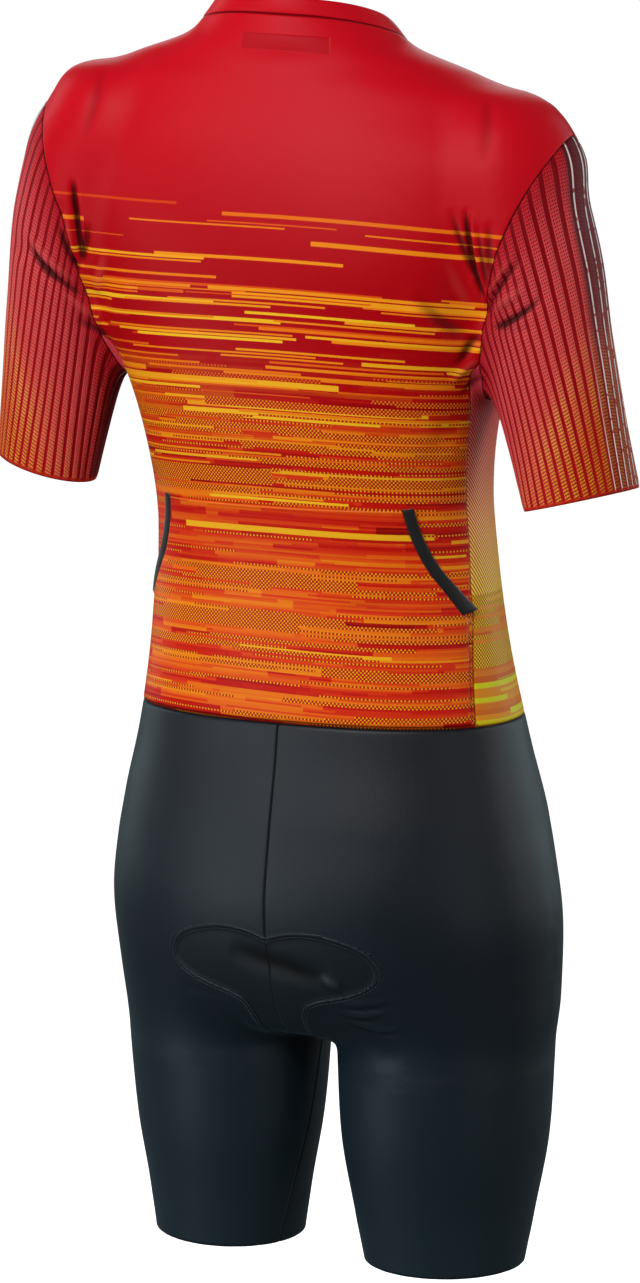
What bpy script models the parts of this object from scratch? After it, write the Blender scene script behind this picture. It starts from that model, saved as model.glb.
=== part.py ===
"""Short-sleeved cycling skinsuit, filled out as worn, with no wearer.

Every panel is a wall of cloth.  Its shape comes from one form: a trunk of
rounded sections with two arms and two legs.  The form is worked out upright and
symmetric, and stance() then turns and tips the shoulders as the worn suit does.
Metres, +Z up, -Y the front, +X the wearer's left; the origin is the middle of
the neck, where the wearer carries the suit.
"""
import bpy
import bmesh
import numpy as np
from math import cos, pi, radians, sin

MM = 0.001

# ---- driving dimensions ----
JERSEY_WALL = 1.2 * MM
SHORTS_WALL = 1.4 * MM
SEAM_GAP = 0.3 * MM
RIB_HEIGHT = 0.6 * MM
WAIST_HEIGHT = -0.500            # jersey meets shorts
LEG_HEM_HEIGHT = -0.913
CROTCH_HEIGHT = -0.740
COLLAR_HEIGHT = 0.012
NECK_BACK_HEIGHT = 0.003
NECK_FRONT_DROP = 0.035
NECK_DROP_LATE = 1.8             # above 1, the neck line falls mostly towards the front
SHOULDER_SEAM_ANGLE = 100.0      # round the neck, from the centre back
ARMHOLE_CENTRE = (0.163, 0.0, -0.150)
ARMHOLE_LEAN_ABOVE = 0.38        # sideways run of the armhole for its rise, over its centre
ARMHOLE_LEAN_BELOW = 0.20
SIDE_BOW = 6.0 * MM              # how far a side panel's rows start out from straight
ZIP_HALF_WIDTH = 3.0 * MM
ZIP_RISE = 0.6 * MM
ZIP_TOP_DROP = 0.2 * MM
TRIM_WIDTH = 7.0 * MM
POCKET_LIFT = 1.2 * MM
POCKET_WALL = 1.2 * MM
POCKET_OFF_WAIST = 1.5 * MM
POCKET_OFF_SEAM = 2.5 * MM
POCKET_SPREAD = 1.2              # radians; draws the pocket's columns together at its sides
TRIM_WALL = 1.8 * MM
PAD_DEPTH_IN = 4.6 * MM          # from the outside of the shorts to the pad
PAD_EDGE = 2.0 * MM
PAD_CROWN = 5.0 * MM

# ---- how the panels' rows run ----
INSIDE_DEPTH = -0.020            # y of the rays' starts inside the trunk
ROW_BOW = 2.5                    # above 1, a row turns to its edge's depth late
ROW_DROP = 1.5                   # the same for its height
EVEN_HEM_SHARE = 0.6             # how far the sleeve's columns even out by the hem
HUB_RISE = 0.020                 # from the hip joint to the middle of the seat's sections
AXIS_SHIFT = 1.6                 # how soon the sections' middle moves over to the thigh
DIP_SHARE = 0.22                 # share of a row over which it leaves its end's height

# ---- counts of the panels' grids ----
NECK_HALF_COLUMNS = 8
SHOULDER_ROWS = 6
ARMHOLE_ROWS = 8                 # knots down each of the back and the front armhole
UNDERARM_COLUMNS = 3
SIDE_ROWS = 10
RIB_COLUMNS = 4                  # columns to each armhole knot, two to a rib
SLEEVE_ROWS = 7
SEAT_ROWS = 4
CROTCH_ROWS = 8
LEG_ROWS = 6


def rows(names, *values):
    """A short table: a dictionary of named columns, in rising order of the first."""
    table = sorted(values)
    return {name: np.array([row[i] for row in table], float) for i, name in enumerate(names.split())}


TRUNK = rows(
    "height half_width front widest back fullness",
    (0.030, 0.052, -0.046, 0.004, 0.048, 2.0),
    (0.000, 0.068, -0.056, 0.004, 0.052, 2.0),
    (-0.015, 0.084, -0.062, 0.004, 0.055, 2.0),
    (-0.030, 0.124, -0.074, 0.000, 0.056, 2.0),
    (-0.045, 0.158, -0.082, 0.003, 0.060, 2.05),
    (-0.062, 0.176, -0.090, 0.006, 0.064, 2.1),
    (-0.085, 0.193, -0.100, 0.008, 0.070, 2.3),
    (-0.120, 0.182, -0.110, 0.008, 0.077, 2.5),
    (-0.170, 0.168, -0.120, 0.004, 0.083, 2.5),
    (-0.220, 0.153, -0.124, -0.004, 0.082, 2.4),
    (-0.280, 0.134, -0.122, -0.010, 0.074, 2.3),
    (-0.340, 0.127, -0.118, -0.016, 0.058, 2.3),
    (-0.390, 0.130, -0.118, -0.022, 0.049, 2.3),
    (-0.450, 0.137, -0.124, -0.028, 0.050, 2.3),
    (-0.520, 0.151, -0.132, -0.036, 0.057, 2.3),
    (-0.580, 0.165, -0.138, -0.042, 0.069, 2.3),
    (-0.635, 0.168, -0.140, -0.045, 0.076, 2.3),
    (-0.690, 0.166, -0.136, -0.046, 0.066, 2.3),
    (-0.740, 0.157, -0.126, -0.048, 0.044, 2.3),
    (-0.800, 0.140, -0.110, -0.050, 0.010, 2.3),
)
SHOULDER_JOINT = np.array((0.152, 0.006, -0.096))
SLEEVE_END = np.array((0.214, 0.007, -0.330))
SLEEVE = rows(
    "along side depth turn",
    (-0.050, 0.036, 0.042, 0),
    (0.000, 0.047, 0.052, 0),
    (0.060, 0.052, 0.056, 0),
    (0.130, 0.046, 0.048, 20),
    (0.200, 0.042, 0.040, 40),
    (0.245, 0.0415, 0.0365, 45),
    (0.300, 0.041, 0.036, 45),
)
HIP_JOINT = np.array((0.090, -0.045, -0.640))
LEG_END = np.array((0.090, -0.043, -0.930))
LEG = rows(
    "along side depth turn",
    (-0.060, 0.060, 0.070, 45),
    (0.000, 0.078, 0.084, 45),
    (0.060, 0.082, 0.079, 45),
    (0.125, 0.081, 0.076, 45),
    (0.180, 0.078, 0.071, 45),
    (0.240, 0.067, 0.061, 40),
    (0.290, 0.058, 0.055, 30),
    (0.340, 0.059, 0.056, 30),
)
ARMPIT_BLEND = 0.018
ARMPIT_KEEN = 0.001
CROTCH_BLEND = 0.017
HIP_FLOOR_BLEND = 0.035
CROTCH_TO_THIGH = 0.020          # how far the row through the crotch falls to the outer thigh
INNER_LEG_BLEND = 0.004
CAP_BLEND = 0.030
INSEAM_BACK = 0.5                # how far the inseam leans back down the leg, for its run inwards

# Side seams: the depth (y) of each at its height.
SIDE_SEAM = rows(
    "height back front",
    (-0.230, 0.037, -0.030),
    (-0.276, 0.014, -0.048),
    (-0.314, 0.006, -0.056),
    (-0.366, -0.001, -0.063),
    (-0.424, -0.001, -0.067),
    (-0.480, 0.005, -0.070),
    (-0.500, 0.007, -0.071),
)
ARMHOLE_BACK_TURN = 155.0        # where the back side seam meets the armhole
ARMHOLE_FRONT_TURN = 200.0

# Pocket hand openings: the middle of the black binding, out from the centre back.
TRIM_LINE = rows(
    "height out",
    (-0.341, 0.0945),
    (-0.360, 0.0985),
    (-0.383, 0.1070),
    (-0.404, 0.1190),
    (-0.418, 0.1265),
)
PAD_OUTLINE = rows(
    "turn half_width",
    (14, 0.044),
    (17, 0.070),
    (21, 0.083),
    (26, 0.087),
    (31, 0.084),
    (34.5, 0.074),
    (37.5, 0.056),
    (40, 0.040),
    (45, 0.034),
    (60, 0.032),
    (90, 0.035),
    (115, 0.038),
    (135, 0.040),
    (150, 0.028),
)

# Largest folds: a ridge (+) or trough (-) along a line on the wearer's left or
# right (side +1 or -1), given by its two ends.
FOLDS = rows(
    "number side x0 y0 z0 x1 y1 z1 depth width",
    (1, -1, 0.150, 0.052, -0.196, 0.133, 0.070, -0.150, -0.0030, 0.010),
    (2, -1, 0.140, 0.045, -0.232, 0.112, 0.072, -0.196, 0.0022, 0.012),
    (3, -1, 0.160, 0.050, -0.190, 0.192, 0.046, -0.176, -0.0028, 0.009),
    (4, -1, 0.126, 0.036, -0.290, 0.112, 0.052, -0.322, -0.0020, 0.012),
    (5, 1, 0.160, 0.062, -0.150, 0.158, 0.060, -0.190, -0.0022, 0.010),
    (6, 1, 0.152, 0.050, -0.205, 0.196, 0.044, -0.176, -0.0030, 0.010),
    (7, 1, 0.140, 0.045, -0.232, 0.116, 0.070, -0.200, 0.0020, 0.012),
    (8, -1, 0.040, 0.056, -0.716, 0.078, 0.040, -0.742, -0.0022, 0.010),
    (9, 1, 0.030, 0.050, -0.722, 0.070, 0.040, -0.738, -0.0016, 0.010),
)

# How the worn suit stands: shoulders turned, tipped and set back over the hips.
STANCE_FOOT = -0.36
STANCE_TOP = -0.02
SHOULDER_TURN = 9.5
SHOULDER_TIP = 0.065
SHOULDER_SHIFT = (0.003, 0.008)
TIP_GAIN = 1.6
SHOULDER_SWAY = -0.007           # sideways, at the shoulders alone
SWAY_HEIGHT = -0.065
SWAY_REACH = 0.035
SWAY_CALM = 0.09                 # half-width of the middle that stays


# ---- the form ----
def column(table, key, at, name):
    """A table's column at any place, on a smooth curve through its rows."""
    x, y = table[key], table[name]
    slope = np.gradient(y, x)
    at = np.clip(at, x[0], x[-1])
    i = np.clip(np.searchsorted(x, at) - 1, 0, len(x) - 2)
    step = x[i + 1] - x[i]
    t = (at - x[i]) / step
    start = (2 * t**3 - 3 * t**2 + 1) * y[i] + (t**3 - 2 * t**2 + t) * step * slope[i]
    end = (-2 * t**3 + 3 * t**2) * y[i + 1] + (t**3 - t**2) * step * slope[i + 1]
    return start + end


def join(a, b, blend):
    """Smooth union of two fields."""
    h = np.clip(0.5 + 0.5 * (b - a) / blend, 0, 1)
    return b * (1 - h) + a * h - blend * h * (1 - h)


def cut(a, b, blend):
    """Smooth intersection of two fields."""
    return -join(-a, -b, blend)


def trunk_field(p):
    x, y, z = p[..., 0], p[..., 1], p[..., 2]
    half_width, front, widest, back, fullness = (
        column(TRUNK, "height", z, name) for name in ("half_width", "front", "widest", "back", "fullness"))
    depth = np.where(y > widest, back - widest, widest - front)
    far = np.abs(x / half_width)**fullness + np.abs((y - widest) / depth)**fullness + 1e-12
    return (far**(1 / fullness) - 1) * np.minimum(half_width, depth)


def limb_axes(start, end):
    along = (end - start) / np.linalg.norm(end - start)
    depth = np.array((0, 1.0, 0))
    depth = depth - along * depth.dot(along)
    depth /= np.linalg.norm(depth)
    side = np.cross(depth, along)
    return along, side * np.sign(side[0]), depth


def limb_field(p, start, end, table, side_sign):
    along, side, depth = limb_axes(start, end)
    d = p * np.array((side_sign, 1, 1.0)) - start
    t, u, v = d @ along, d @ side, d @ depth
    long_half, short_half = column(table, "along", t, "side"), column(table, "along", t, "depth")
    turn = np.radians(column(table, "along", t, "turn"))
    a = u * np.cos(turn) - v * np.sin(turn)
    b = u * np.sin(turn) + v * np.cos(turn)
    reach = np.sqrt((a / long_half)**2 + (b / short_half)**2 + 1e-12)
    return cut((reach - 1) * np.minimum(long_half, short_half), table["along"][0] - t, CAP_BLEND)


def arm_field(p, side_sign):
    return limb_field(p, SHOULDER_JOINT, SLEEVE_END, SLEEVE, side_sign)


def leg_field(p, side_sign):
    return limb_field(p, HIP_JOINT, LEG_END, LEG, side_sign)


def fold_height(p):
    """Height of all folds at each point: soft ridges and troughs that fade at their ends."""
    height = np.zeros(p.shape[:-1])
    for i in range(len(FOLDS["side"])):
        f = {name: values[i] for name, values in FOLDS.items()}
        a = np.array((f["side"] * f["x0"], f["y0"], f["z0"]))
        b = np.array((f["side"] * f["x1"], f["y1"], f["z1"]))
        run = (p - a) @ (b - a) / (b - a).dot(b - a)
        off = np.linalg.norm(p - a - np.clip(run, 0, 1)[..., None] * (b - a), axis=-1)
        height += f["depth"] * np.exp(-(off / f["width"])**2)
    return height


def upper_field(p):
    arms = join(arm_field(p, 1), arm_field(p, -1), ARMPIT_KEEN)
    return join(trunk_field(p), arms, ARMPIT_BLEND) - fold_height(p)


def lower_field(p):
    hips = cut(trunk_field(p), CROTCH_HEIGHT - p[..., 2], HIP_FLOOR_BLEND)
    legs = join(leg_field(p, 1), leg_field(p, -1), INNER_LEG_BLEND)
    return join(hips, legs, CROTCH_BLEND) - fold_height(p)


def gradient(field, p, value=None, step=0.0004):
    value = field(p) if value is None else value
    return np.stack([(field(p + np.eye(3)[i] * step) - value) / step for i in range(3)], -1)


def settle(field, p, rounds=10, largest=0.012):
    """Bring points onto the form."""
    for _ in range(rounds):
        value = field(p)
        slope = gradient(field, p, value)
        move = -value[..., None] * slope / (np.sum(slope**2, -1, keepdims=True) + 1e-9)
        size = np.linalg.norm(move, axis=-1, keepdims=True)
        p = p + move * np.minimum(1, largest / (size + 1e-12))
    return p


def normals(field, p):
    slope = np.stack([field(p + e) - field(p - e) for e in np.eye(3) * 0.0008], -1)
    return slope / np.linalg.norm(slope, axis=-1, keepdims=True)


def outward(field, start, direction, reach=0.30, steps=300):
    """Where rays from inside the form leave it."""
    start, direction = np.broadcast_arrays(np.asarray(start, float), np.asarray(direction, float))
    travel = np.linspace(0, reach, steps)
    values = field(start[..., None, :] + travel[:, None] * direction[..., None, :])
    first = np.argmax(values > 0, axis=-1)
    low, high = travel[np.maximum(first - 1, 0)], travel[first]
    for _ in range(24):
        middle = (low + high) / 2
        out = field(start + middle[..., None] * direction) > 0
        low, high = np.where(out, low, middle), np.where(out, middle, high)
    return start + low[..., None] * direction


def stance(p):
    """Turn, tip and shift the shoulders over the hips."""
    weight = np.clip((p[..., 2] - STANCE_FOOT) / (STANCE_TOP - STANCE_FOOT), 0, 1.4)
    angle = radians(SHOULDER_TURN) * np.clip(weight, 0, 1)
    x = p[..., 0] * np.cos(angle) - p[..., 1] * np.sin(angle) + SHOULDER_SHIFT[0] * weight
    y = p[..., 0] * np.sin(angle) + p[..., 1] * np.cos(angle) + SHOULDER_SHIFT[1] * weight
    z = p[..., 2] + SHOULDER_TIP * p[..., 0] * np.clip(weight * TIP_GAIN, 0, 1)
    sway = SHOULDER_SWAY * np.exp(-((p[..., 2] - SWAY_HEIGHT) / SWAY_REACH)**2)
    x += sway * (1 - np.exp(-(p[..., 0] / SWAY_CALM)**2))
    return np.stack([x, y, z], -1)


# ---- lines on the form ----
def even(line, count=None, at=None):
    """Points along a polyline, evenly spaced or at given shares of its length."""
    length = np.concatenate(([0], np.cumsum(np.linalg.norm(np.diff(line, axis=0), axis=-1))))
    share = np.linspace(0, 1, count) if at is None else np.asarray(at)
    return np.stack([np.interp(share * length[-1], length, line[:, i]) for i in range(3)], -1)


def neck_point(turn, rise=0.0):
    """A point of the neck seam, by its angle in degrees from the centre back."""
    a = np.radians(turn)
    height = NECK_BACK_HEIGHT - NECK_FRONT_DROP * ((1 - np.cos(a)) / 2)**NECK_DROP_LATE + rise
    centre = np.stack([0 * a, 0 * a, height], -1)
    return outward(trunk_field, centre, np.stack([np.sin(a), np.cos(a), 0 * a], -1))


def armhole_point(turn):
    """A point of the wearer's left armhole, by its angle from the shoulder tip to the back."""
    a = np.radians(np.asarray(turn, float))[..., None]
    lean = np.where(np.cos(a) > 0, ARMHOLE_LEAN_ABOVE, ARMHOLE_LEAN_BELOW)
    up = np.concatenate([lean, 0 * lean, 1 + 0 * lean], -1) / np.hypot(1, lean)
    ray = np.cos(a) * up + np.sin(a) * np.array((0, 1.0, 0))
    return outward(upper_field, ARMHOLE_CENTRE, ray, reach=0.18)


def armhole_turns():
    back = np.linspace(0, ARMHOLE_BACK_TURN, ARMHOLE_ROWS + 1)
    under = np.linspace(ARMHOLE_BACK_TURN, ARMHOLE_FRONT_TURN, UNDERARM_COLUMNS + 1)
    front = np.linspace(ARMHOLE_FRONT_TURN, 360, ARMHOLE_ROWS + 1)
    return back, under, front


def side_seam_point(height, name):
    depth = np.interp(height, SIDE_SEAM["height"], SIDE_SEAM[name])
    start = np.stack([0 * height, depth, height], -1)
    return outward(trunk_field, start, (1.0, 0, 0))


def side_seam(name, armhole_turn):
    """The wearer's left side seam, from the armhole to the waist."""
    top = armhole_point([armhole_turn])
    heights = np.linspace(top[0, 2], WAIST_HEIGHT, 60)[1:]
    line = settle(upper_field, np.concatenate([top, side_seam_point(heights, name)]))
    line[-1, 2] = WAIST_HEIGHT
    return even(line, SIDE_ROWS + 1)


def shoulder_seam():
    start = neck_point(np.array([SHOULDER_SEAM_ANGLE]))[0]
    end = armhole_point([0])[0]
    share = np.linspace(0, 1, 30)[:, None]
    line = start + (end - start) * share
    line[1:-1] = settle(upper_field, line[1:-1])
    return even(line, SHOULDER_ROWS + 1)


def outer_edge(turns, seam_name, seam_turn):
    """Shoulder seam, armhole and side seam in one line, for the back or a front."""
    return np.concatenate([shoulder_seam(), armhole_point(turns)[1:], side_seam(seam_name, seam_turn)[1:]])


def row_between(field, middle, edge, columns):
    """A row of points on the form from the centre line out to a panel's edge."""
    u = np.linspace(0, 1, 4 * columns + 1)[:, None]
    guess = middle + (edge - middle) * np.concatenate([u, u**ROW_BOW, u**ROW_DROP], -1)
    dense = settle(field, guess)
    dense[0], dense[-1] = middle, edge
    line = even(dense, columns + 1)
    line[1:-1] = settle(field, line[1:-1], 4)
    return line


def relax(field, grid, rounds=14):
    """Even out the inside of a grid, its edges held, and bring it back onto the form."""
    for _ in range(rounds):
        around = grid[:-2, 1:-1] + grid[2:, 1:-1] + grid[1:-1, :-2] + grid[1:-1, 2:]
        grid[1:-1, 1:-1] = settle(field, around / 4, 3, 0.006)
    return grid


def centre_line(x, front, top, count):
    heights = np.linspace(top, WAIST_HEIGHT, count)
    start = np.stack([0 * heights + x, 0 * heights + INSIDE_DEPTH, heights], -1)
    return outward(upper_field, start, (0, -1.0 if front else 1.0, 0))


def mirrored(grid):
    return grid * np.array((-1, 1, 1.0))


def back_grid():
    """Rows from the neck to the waist, columns from the wearer's right to the left."""
    edge = outer_edge(armhole_turns()[0], "back", ARMHOLE_BACK_TURN)
    middle = centre_line(0, False, NECK_BACK_HEIGHT, len(edge))
    half = [neck_point(np.linspace(0, SHOULDER_SEAM_ANGLE, NECK_HALF_COLUMNS + 1))]
    half += [row_between(upper_field, m, e, NECK_HALF_COLUMNS) for m, e in zip(middle[1:], edge[1:])]
    half = relax(upper_field, np.array(half))
    return np.concatenate([mirrored(half[:, :0:-1]), half], axis=1)


def front_grid():
    """The wearer's left front: rows from the neck to the waist, columns from the zip outwards."""
    edge = outer_edge(armhole_turns()[2][::-1], "front", ARMHOLE_FRONT_TURN)
    neck = neck_point(np.linspace(180, SHOULDER_SEAM_ANGLE, NECK_HALF_COLUMNS + 1))
    middle = centre_line(ZIP_HALF_WIDTH, True, neck[0, 2], len(edge))
    neck[0] = middle[0]
    grid = [neck]
    grid += [row_between(upper_field, m, e, NECK_HALF_COLUMNS) for m, e in zip(middle[1:], edge[1:])]
    return relax(upper_field, np.array(grid))


def side_grid():
    """The wearer's left side panel: rows from the armhole to the waist, back to front."""
    back = side_seam("back", ARMHOLE_BACK_TURN)
    front = side_seam("front", ARMHOLE_FRONT_TURN)
    top = armhole_point(armhole_turns()[1])
    share = np.linspace(0, 1, UNDERARM_COLUMNS + 1)
    dip = top[:, 2] - (top[0, 2] + (top[-1, 2] - top[0, 2]) * share)
    grid = [top]
    for i in range(1, SIDE_ROWS + 1):
        line = back[i] + (front[i] - back[i]) * share[:, None]
        line[:, 0] += SIDE_BOW * np.sin(pi * share)
        line[:, 2] += dip * (1 - i / SIDE_ROWS)
        line[1:-1] = settle(upper_field, line[1:-1])
        grid.append(line)
    grid = np.array(grid)
    grid[-1, :, 2] = WAIST_HEIGHT
    return grid


def sleeve_grid(columns_to_knot):
    """Rings from the armhole to the hem; columns run round from the top by the back."""
    back, under, front = armhole_turns()
    turns = np.concatenate([back, under[1:], front[1:]])
    knots = armhole_point(turns)
    knots[-1] = knots[0]
    count = (len(knots) - 1) * columns_to_knot
    ring = np.linspace(0, len(knots) - 1, count + 1)
    first = np.stack([np.interp(ring, np.arange(len(knots)), knots[:, i]) for i in range(3)], -1)
    along, side, depth = limb_axes(SHOULDER_JOINT, SLEEVE_END)
    length = np.linalg.norm(SLEEVE_END - SHOULDER_JOINT)
    # each column runs to an evenly spaced place on the hem
    hem_turn = np.radians(np.interp(ring, np.arange(len(knots)), turns))
    round_ = np.linspace(0, 2 * pi, count + 1)
    hem_turn += (round_ - hem_turn) * EVEN_HEM_SHARE
    d = first - SHOULDER_JOINT
    first_turn = np.unwrap(np.arctan2(d @ depth, d @ side))
    first_turn -= 2 * pi * round(first_turn[0] / (2 * pi))
    start = d @ along
    grid = [first]
    for share in np.linspace(0, 1, SLEEVE_ROWS + 1)[1:]:
        turn = first_turn + (hem_turn - first_turn) * share
        t = start + (length - start) * share
        centre = SHOULDER_JOINT + t[:, None] * along
        ray = np.cos(turn)[:, None] * side + np.sin(turn)[:, None] * depth
        guess = outward(lambda p: arm_field(p, 1), centre, ray, 0.09, 120)
        grid.append(settle(upper_field, guess, 6))
    grid = np.array(grid)
    grid[:, -1] = grid[:, 0]
    return grid


def collar_grid():
    """The wearer's left half of the collar band, front to back: seam row and top row."""
    front = np.linspace(180, SHOULDER_SEAM_ANGLE, NECK_HALF_COLUMNS + 1)
    back = np.linspace(SHOULDER_SEAM_ANGLE, 0, NECK_HALF_COLUMNS + 1)[1:]
    turns = np.concatenate([front, back])
    grid = np.array([neck_point(turns), neck_point(turns, COLLAR_HEIGHT)])
    for line in grid:
        height = line[0, 2]
        line[0] = outward(trunk_field, (ZIP_HALF_WIDTH, INSIDE_DEPTH, height), (0, -1.0, 0))
    return grid


def midline_point(turn):
    """A point of the shorts' centre seam, by its angle from straight back, down and forward."""
    a = np.radians(turn)
    hub = np.array((0, HIP_JOINT[1], HIP_JOINT[2] + HUB_RISE))
    ray = np.stack([0 * a, np.cos(a), -np.sin(a)], -1)
    return outward(lower_field, hub, ray)


def shorts_grid(shares):
    """The wearer's left half: rows from the waist to the hem, columns from the back seam
    round the outside to the front seam, and from inseam to inseam on the leg."""
    hub_height = HIP_JOINT[2] + HUB_RISE
    heights = np.linspace(WAIST_HEIGHT, hub_height, SEAT_ROWS + 1)
    back = [outward(upper_field if i == 0 else lower_field, (0, INSIDE_DEPTH, h), (0, 1.0, 0))
            for i, h in enumerate(heights)]
    front = [outward(upper_field if i == 0 else lower_field, (0, INSIDE_DEPTH, h), (0, -1.0, 0))
             for i, h in enumerate(heights)]
    outside = list(heights)
    centre_x = [0.0] * len(heights)
    for i in range(1, CROTCH_ROWS + 1):
        share = i / CROTCH_ROWS
        back.append(midline_point(90 * share))
        front.append(midline_point(180 - 90 * share))
        outside.append(back[-1][2] - CROTCH_TO_THIGH * share)
        centre_x.append(HIP_JOINT[0] * min(1, AXIS_SHIFT * share))
    crotch_outside = outside[-1]
    crotch_inside = back[-1][2]
    for i in range(1, LEG_ROWS + 1):
        share = i / LEG_ROWS
        height = crotch_outside + (LEG_HEM_HEIGHT - crotch_outside) * share
        inside = crotch_inside + (LEG_HEM_HEIGHT - crotch_inside) * share
        ray = (-1.0, INSEAM_BACK * share, 0)
        hit = outward(lower_field, (HIP_JOINT[0], HIP_JOINT[1], inside), ray, reach=0.2)
        back.append(hit)
        front.append(hit)
        outside.append(height)
        centre_x.append(HIP_JOINT[0])
    grid = []
    for b, f, height, x in zip(back, front, outside, centre_x):
        centre = np.array((x, HIP_JOINT[1], 0))
        start = np.arctan2(b[1] - centre[1], b[0] - centre[0])
        end = np.arctan2(f[1] - centre[1], f[0] - centre[0])
        start = pi if x and abs(start) > pi - 1e-6 else start
        end = end - 2 * pi if end > 0 else end
        u = np.linspace(0, 1, 121)
        turn = start + (end - start) * u
        near = np.clip(1 - np.minimum(u, 1 - u) / DIP_SHARE, 0, 1)**2
        rise = height + (b[2] - height) * near
        ray = np.stack([np.cos(turn), np.sin(turn), 0 * turn], -1)
        origin = np.stack([0 * u + centre[0], 0 * u + centre[1], rise], -1)
        field = upper_field if height == WAIST_HEIGHT else lower_field
        dense = outward(field, origin, ray, 0.26, 260)
        dense[0], dense[-1] = b, f
        line = even(dense, at=shares)
        line[1:-1] = settle(field, line[1:-1], 3, 0.004) if height != WAIST_HEIGHT else line[1:-1]
        grid.append(line)
    return np.array(grid)


# ---- solids ----
def from_edge(edge, run, inner_row, out):
    """Half a seam gap's move from an edge into its panel, square to the edge and to the normals."""
    run = run / (np.linalg.norm(run, axis=-1, keepdims=True) + 1e-12)
    inward = inner_row - edge
    for direction in (run, out, run, out):
        inward = inward - direction * np.sum(inward * direction, -1, keepdims=True)
    return SEAM_GAP / 2 * inward / (np.linalg.norm(inward, axis=-1, keepdims=True) + 1e-12)


def set_back(field, points):
    """Moves that take all four edges of a grid back from its seams."""
    move = np.zeros_like(points)
    out = normals(field, points)
    for turned in (lambda g: g, lambda g: g[::-1], lambda g: g.transpose(1, 0, 2),
                   lambda g: g[:, ::-1].transpose(1, 0, 2)):
        grid = turned(points)
        turned(move)[0] += from_edge(grid[0], np.gradient(grid[0], axis=0), grid[1], turned(out)[0])
    return move


def layer(field, points, height, move=0.0):
    """Points raised from the form along its normals."""
    raised = np.asarray(height, float)
    raised = raised[..., None] if raised.ndim else raised
    return points + move + normals(field, points) * raised


def add_object(name, verts, faces, finish, posed=True, smooth=True):
    mesh = bpy.data.meshes.new(name)
    places = stance(np.asarray(verts, float)) if posed else np.asarray(verts, float)
    mesh.from_pydata([tuple(v) for v in places], [], faces)
    work = bmesh.new()
    work.from_mesh(mesh)
    bmesh.ops.recalc_face_normals(work, faces=work.faces)
    if work.calc_volume(signed=True) < 0:
        bmesh.ops.reverse_faces(work, faces=work.faces)
    work.to_mesh(mesh)
    work.free()
    if smooth:
        mesh.shade_smooth()
    mesh.materials.append(material(finish))
    thing = bpy.data.objects.new(name, mesh)
    bpy.context.scene.collection.objects.link(thing)
    return thing


def apart(verts, i, j):
    return np.linalg.norm(verts[i] - verts[j])


def wall(name, outer, inner, finish):
    """A closed wall between an outer and an inner grid of the same size."""
    r, c = outer.shape[:2]
    verts = np.concatenate([outer.reshape(-1, 3), inner.reshape(-1, 3)])
    n = r * c

    def at(i, j, side):
        return side * n + i * c + j

    faces = []
    for i in range(r - 1):
        for j in range(c - 1):
            a, b, d, e = (i, j), (i, j + 1), (i + 1, j + 1), (i + 1, j)
            if apart(verts, at(*b, 0), at(*e, 0)) < apart(verts, at(*a, 0), at(*d, 0)):
                a, b, d, e = b, d, e, a
            faces += [(at(*a, 0), at(*b, 0), at(*d, 0)), (at(*a, 0), at(*d, 0), at(*e, 0))]
            faces += [(at(*a, 1), at(*d, 1), at(*b, 1)), (at(*a, 1), at(*e, 1), at(*d, 1))]
    rim = [(0, j) for j in range(c)] + [(i, c - 1) for i in range(1, r)]
    rim += [(r - 1, j) for j in range(c - 2, -1, -1)] + [(i, 0) for i in range(r - 2, 0, -1)]
    for a, b in zip(rim, rim[1:] + rim[:1]):
        out_a, out_b, in_a, in_b = at(*a, 0), at(*b, 0), at(*a, 1), at(*b, 1)
        if apart(verts, out_a, in_b) < apart(verts, in_a, out_b):
            faces += [(out_a, in_b, out_b), (out_a, in_a, in_b)]
        else:
            faces += [(out_a, in_a, out_b), (in_a, in_b, out_b)]
    return add_object(name, verts, faces, finish)


def ribbed_tube(name, outer, inner, finish):
    """A closed wall between two ring grids, the outer with several columns to each inner one."""
    r, n_out, n_in = len(outer), outer.shape[1], inner.shape[1]
    step = n_out // n_in
    verts = np.concatenate([outer.reshape(-1, 3), inner.reshape(-1, 3)])
    faces = []
    for i in range(r - 1):
        for count, base in ((n_out, 0), (n_in, r * n_out)):
            for j in range(count):
                k = (j + 1) % count
                a, b = base + i * count + j, base + i * count + k
                d, e = base + (i + 1) * count + k, base + (i + 1) * count + j
                faces += [(a, b, d), (a, d, e)] if base == 0 else [(a, d, b), (a, e, d)]
    for i in (0, r - 1):
        for j in range(n_in):
            a = r * n_out + i * n_in + j
            b = r * n_out + i * n_in + (j + 1) % n_in
            fan = [i * n_out + (j * step + s) % n_out for s in range(step + 1)]
            from_b = apart(verts, fan[0], b) < apart(verts, a, fan[-1])
            faces += [(b if from_b else a, fan[s], fan[s + 1]) for s in range(step)]
            faces.append((a, fan[0] if from_b else fan[-1], b))
    return add_object(name, verts, faces, finish)


def panel(name, grid, thickness, finish, field=upper_field):
    """A wall of cloth with its outside on the form."""
    move = set_back(field, grid)
    return wall(name, layer(field, grid, 0.0, move), layer(field, grid, -thickness, move), finish)


def both_sides(grid, field, side):
    """A grid of the wearer's left, brought to the right side's own form where side is -1."""
    if side > 0:
        return grid
    return settle(field, mirrored(grid), 3, 0.005)


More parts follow.
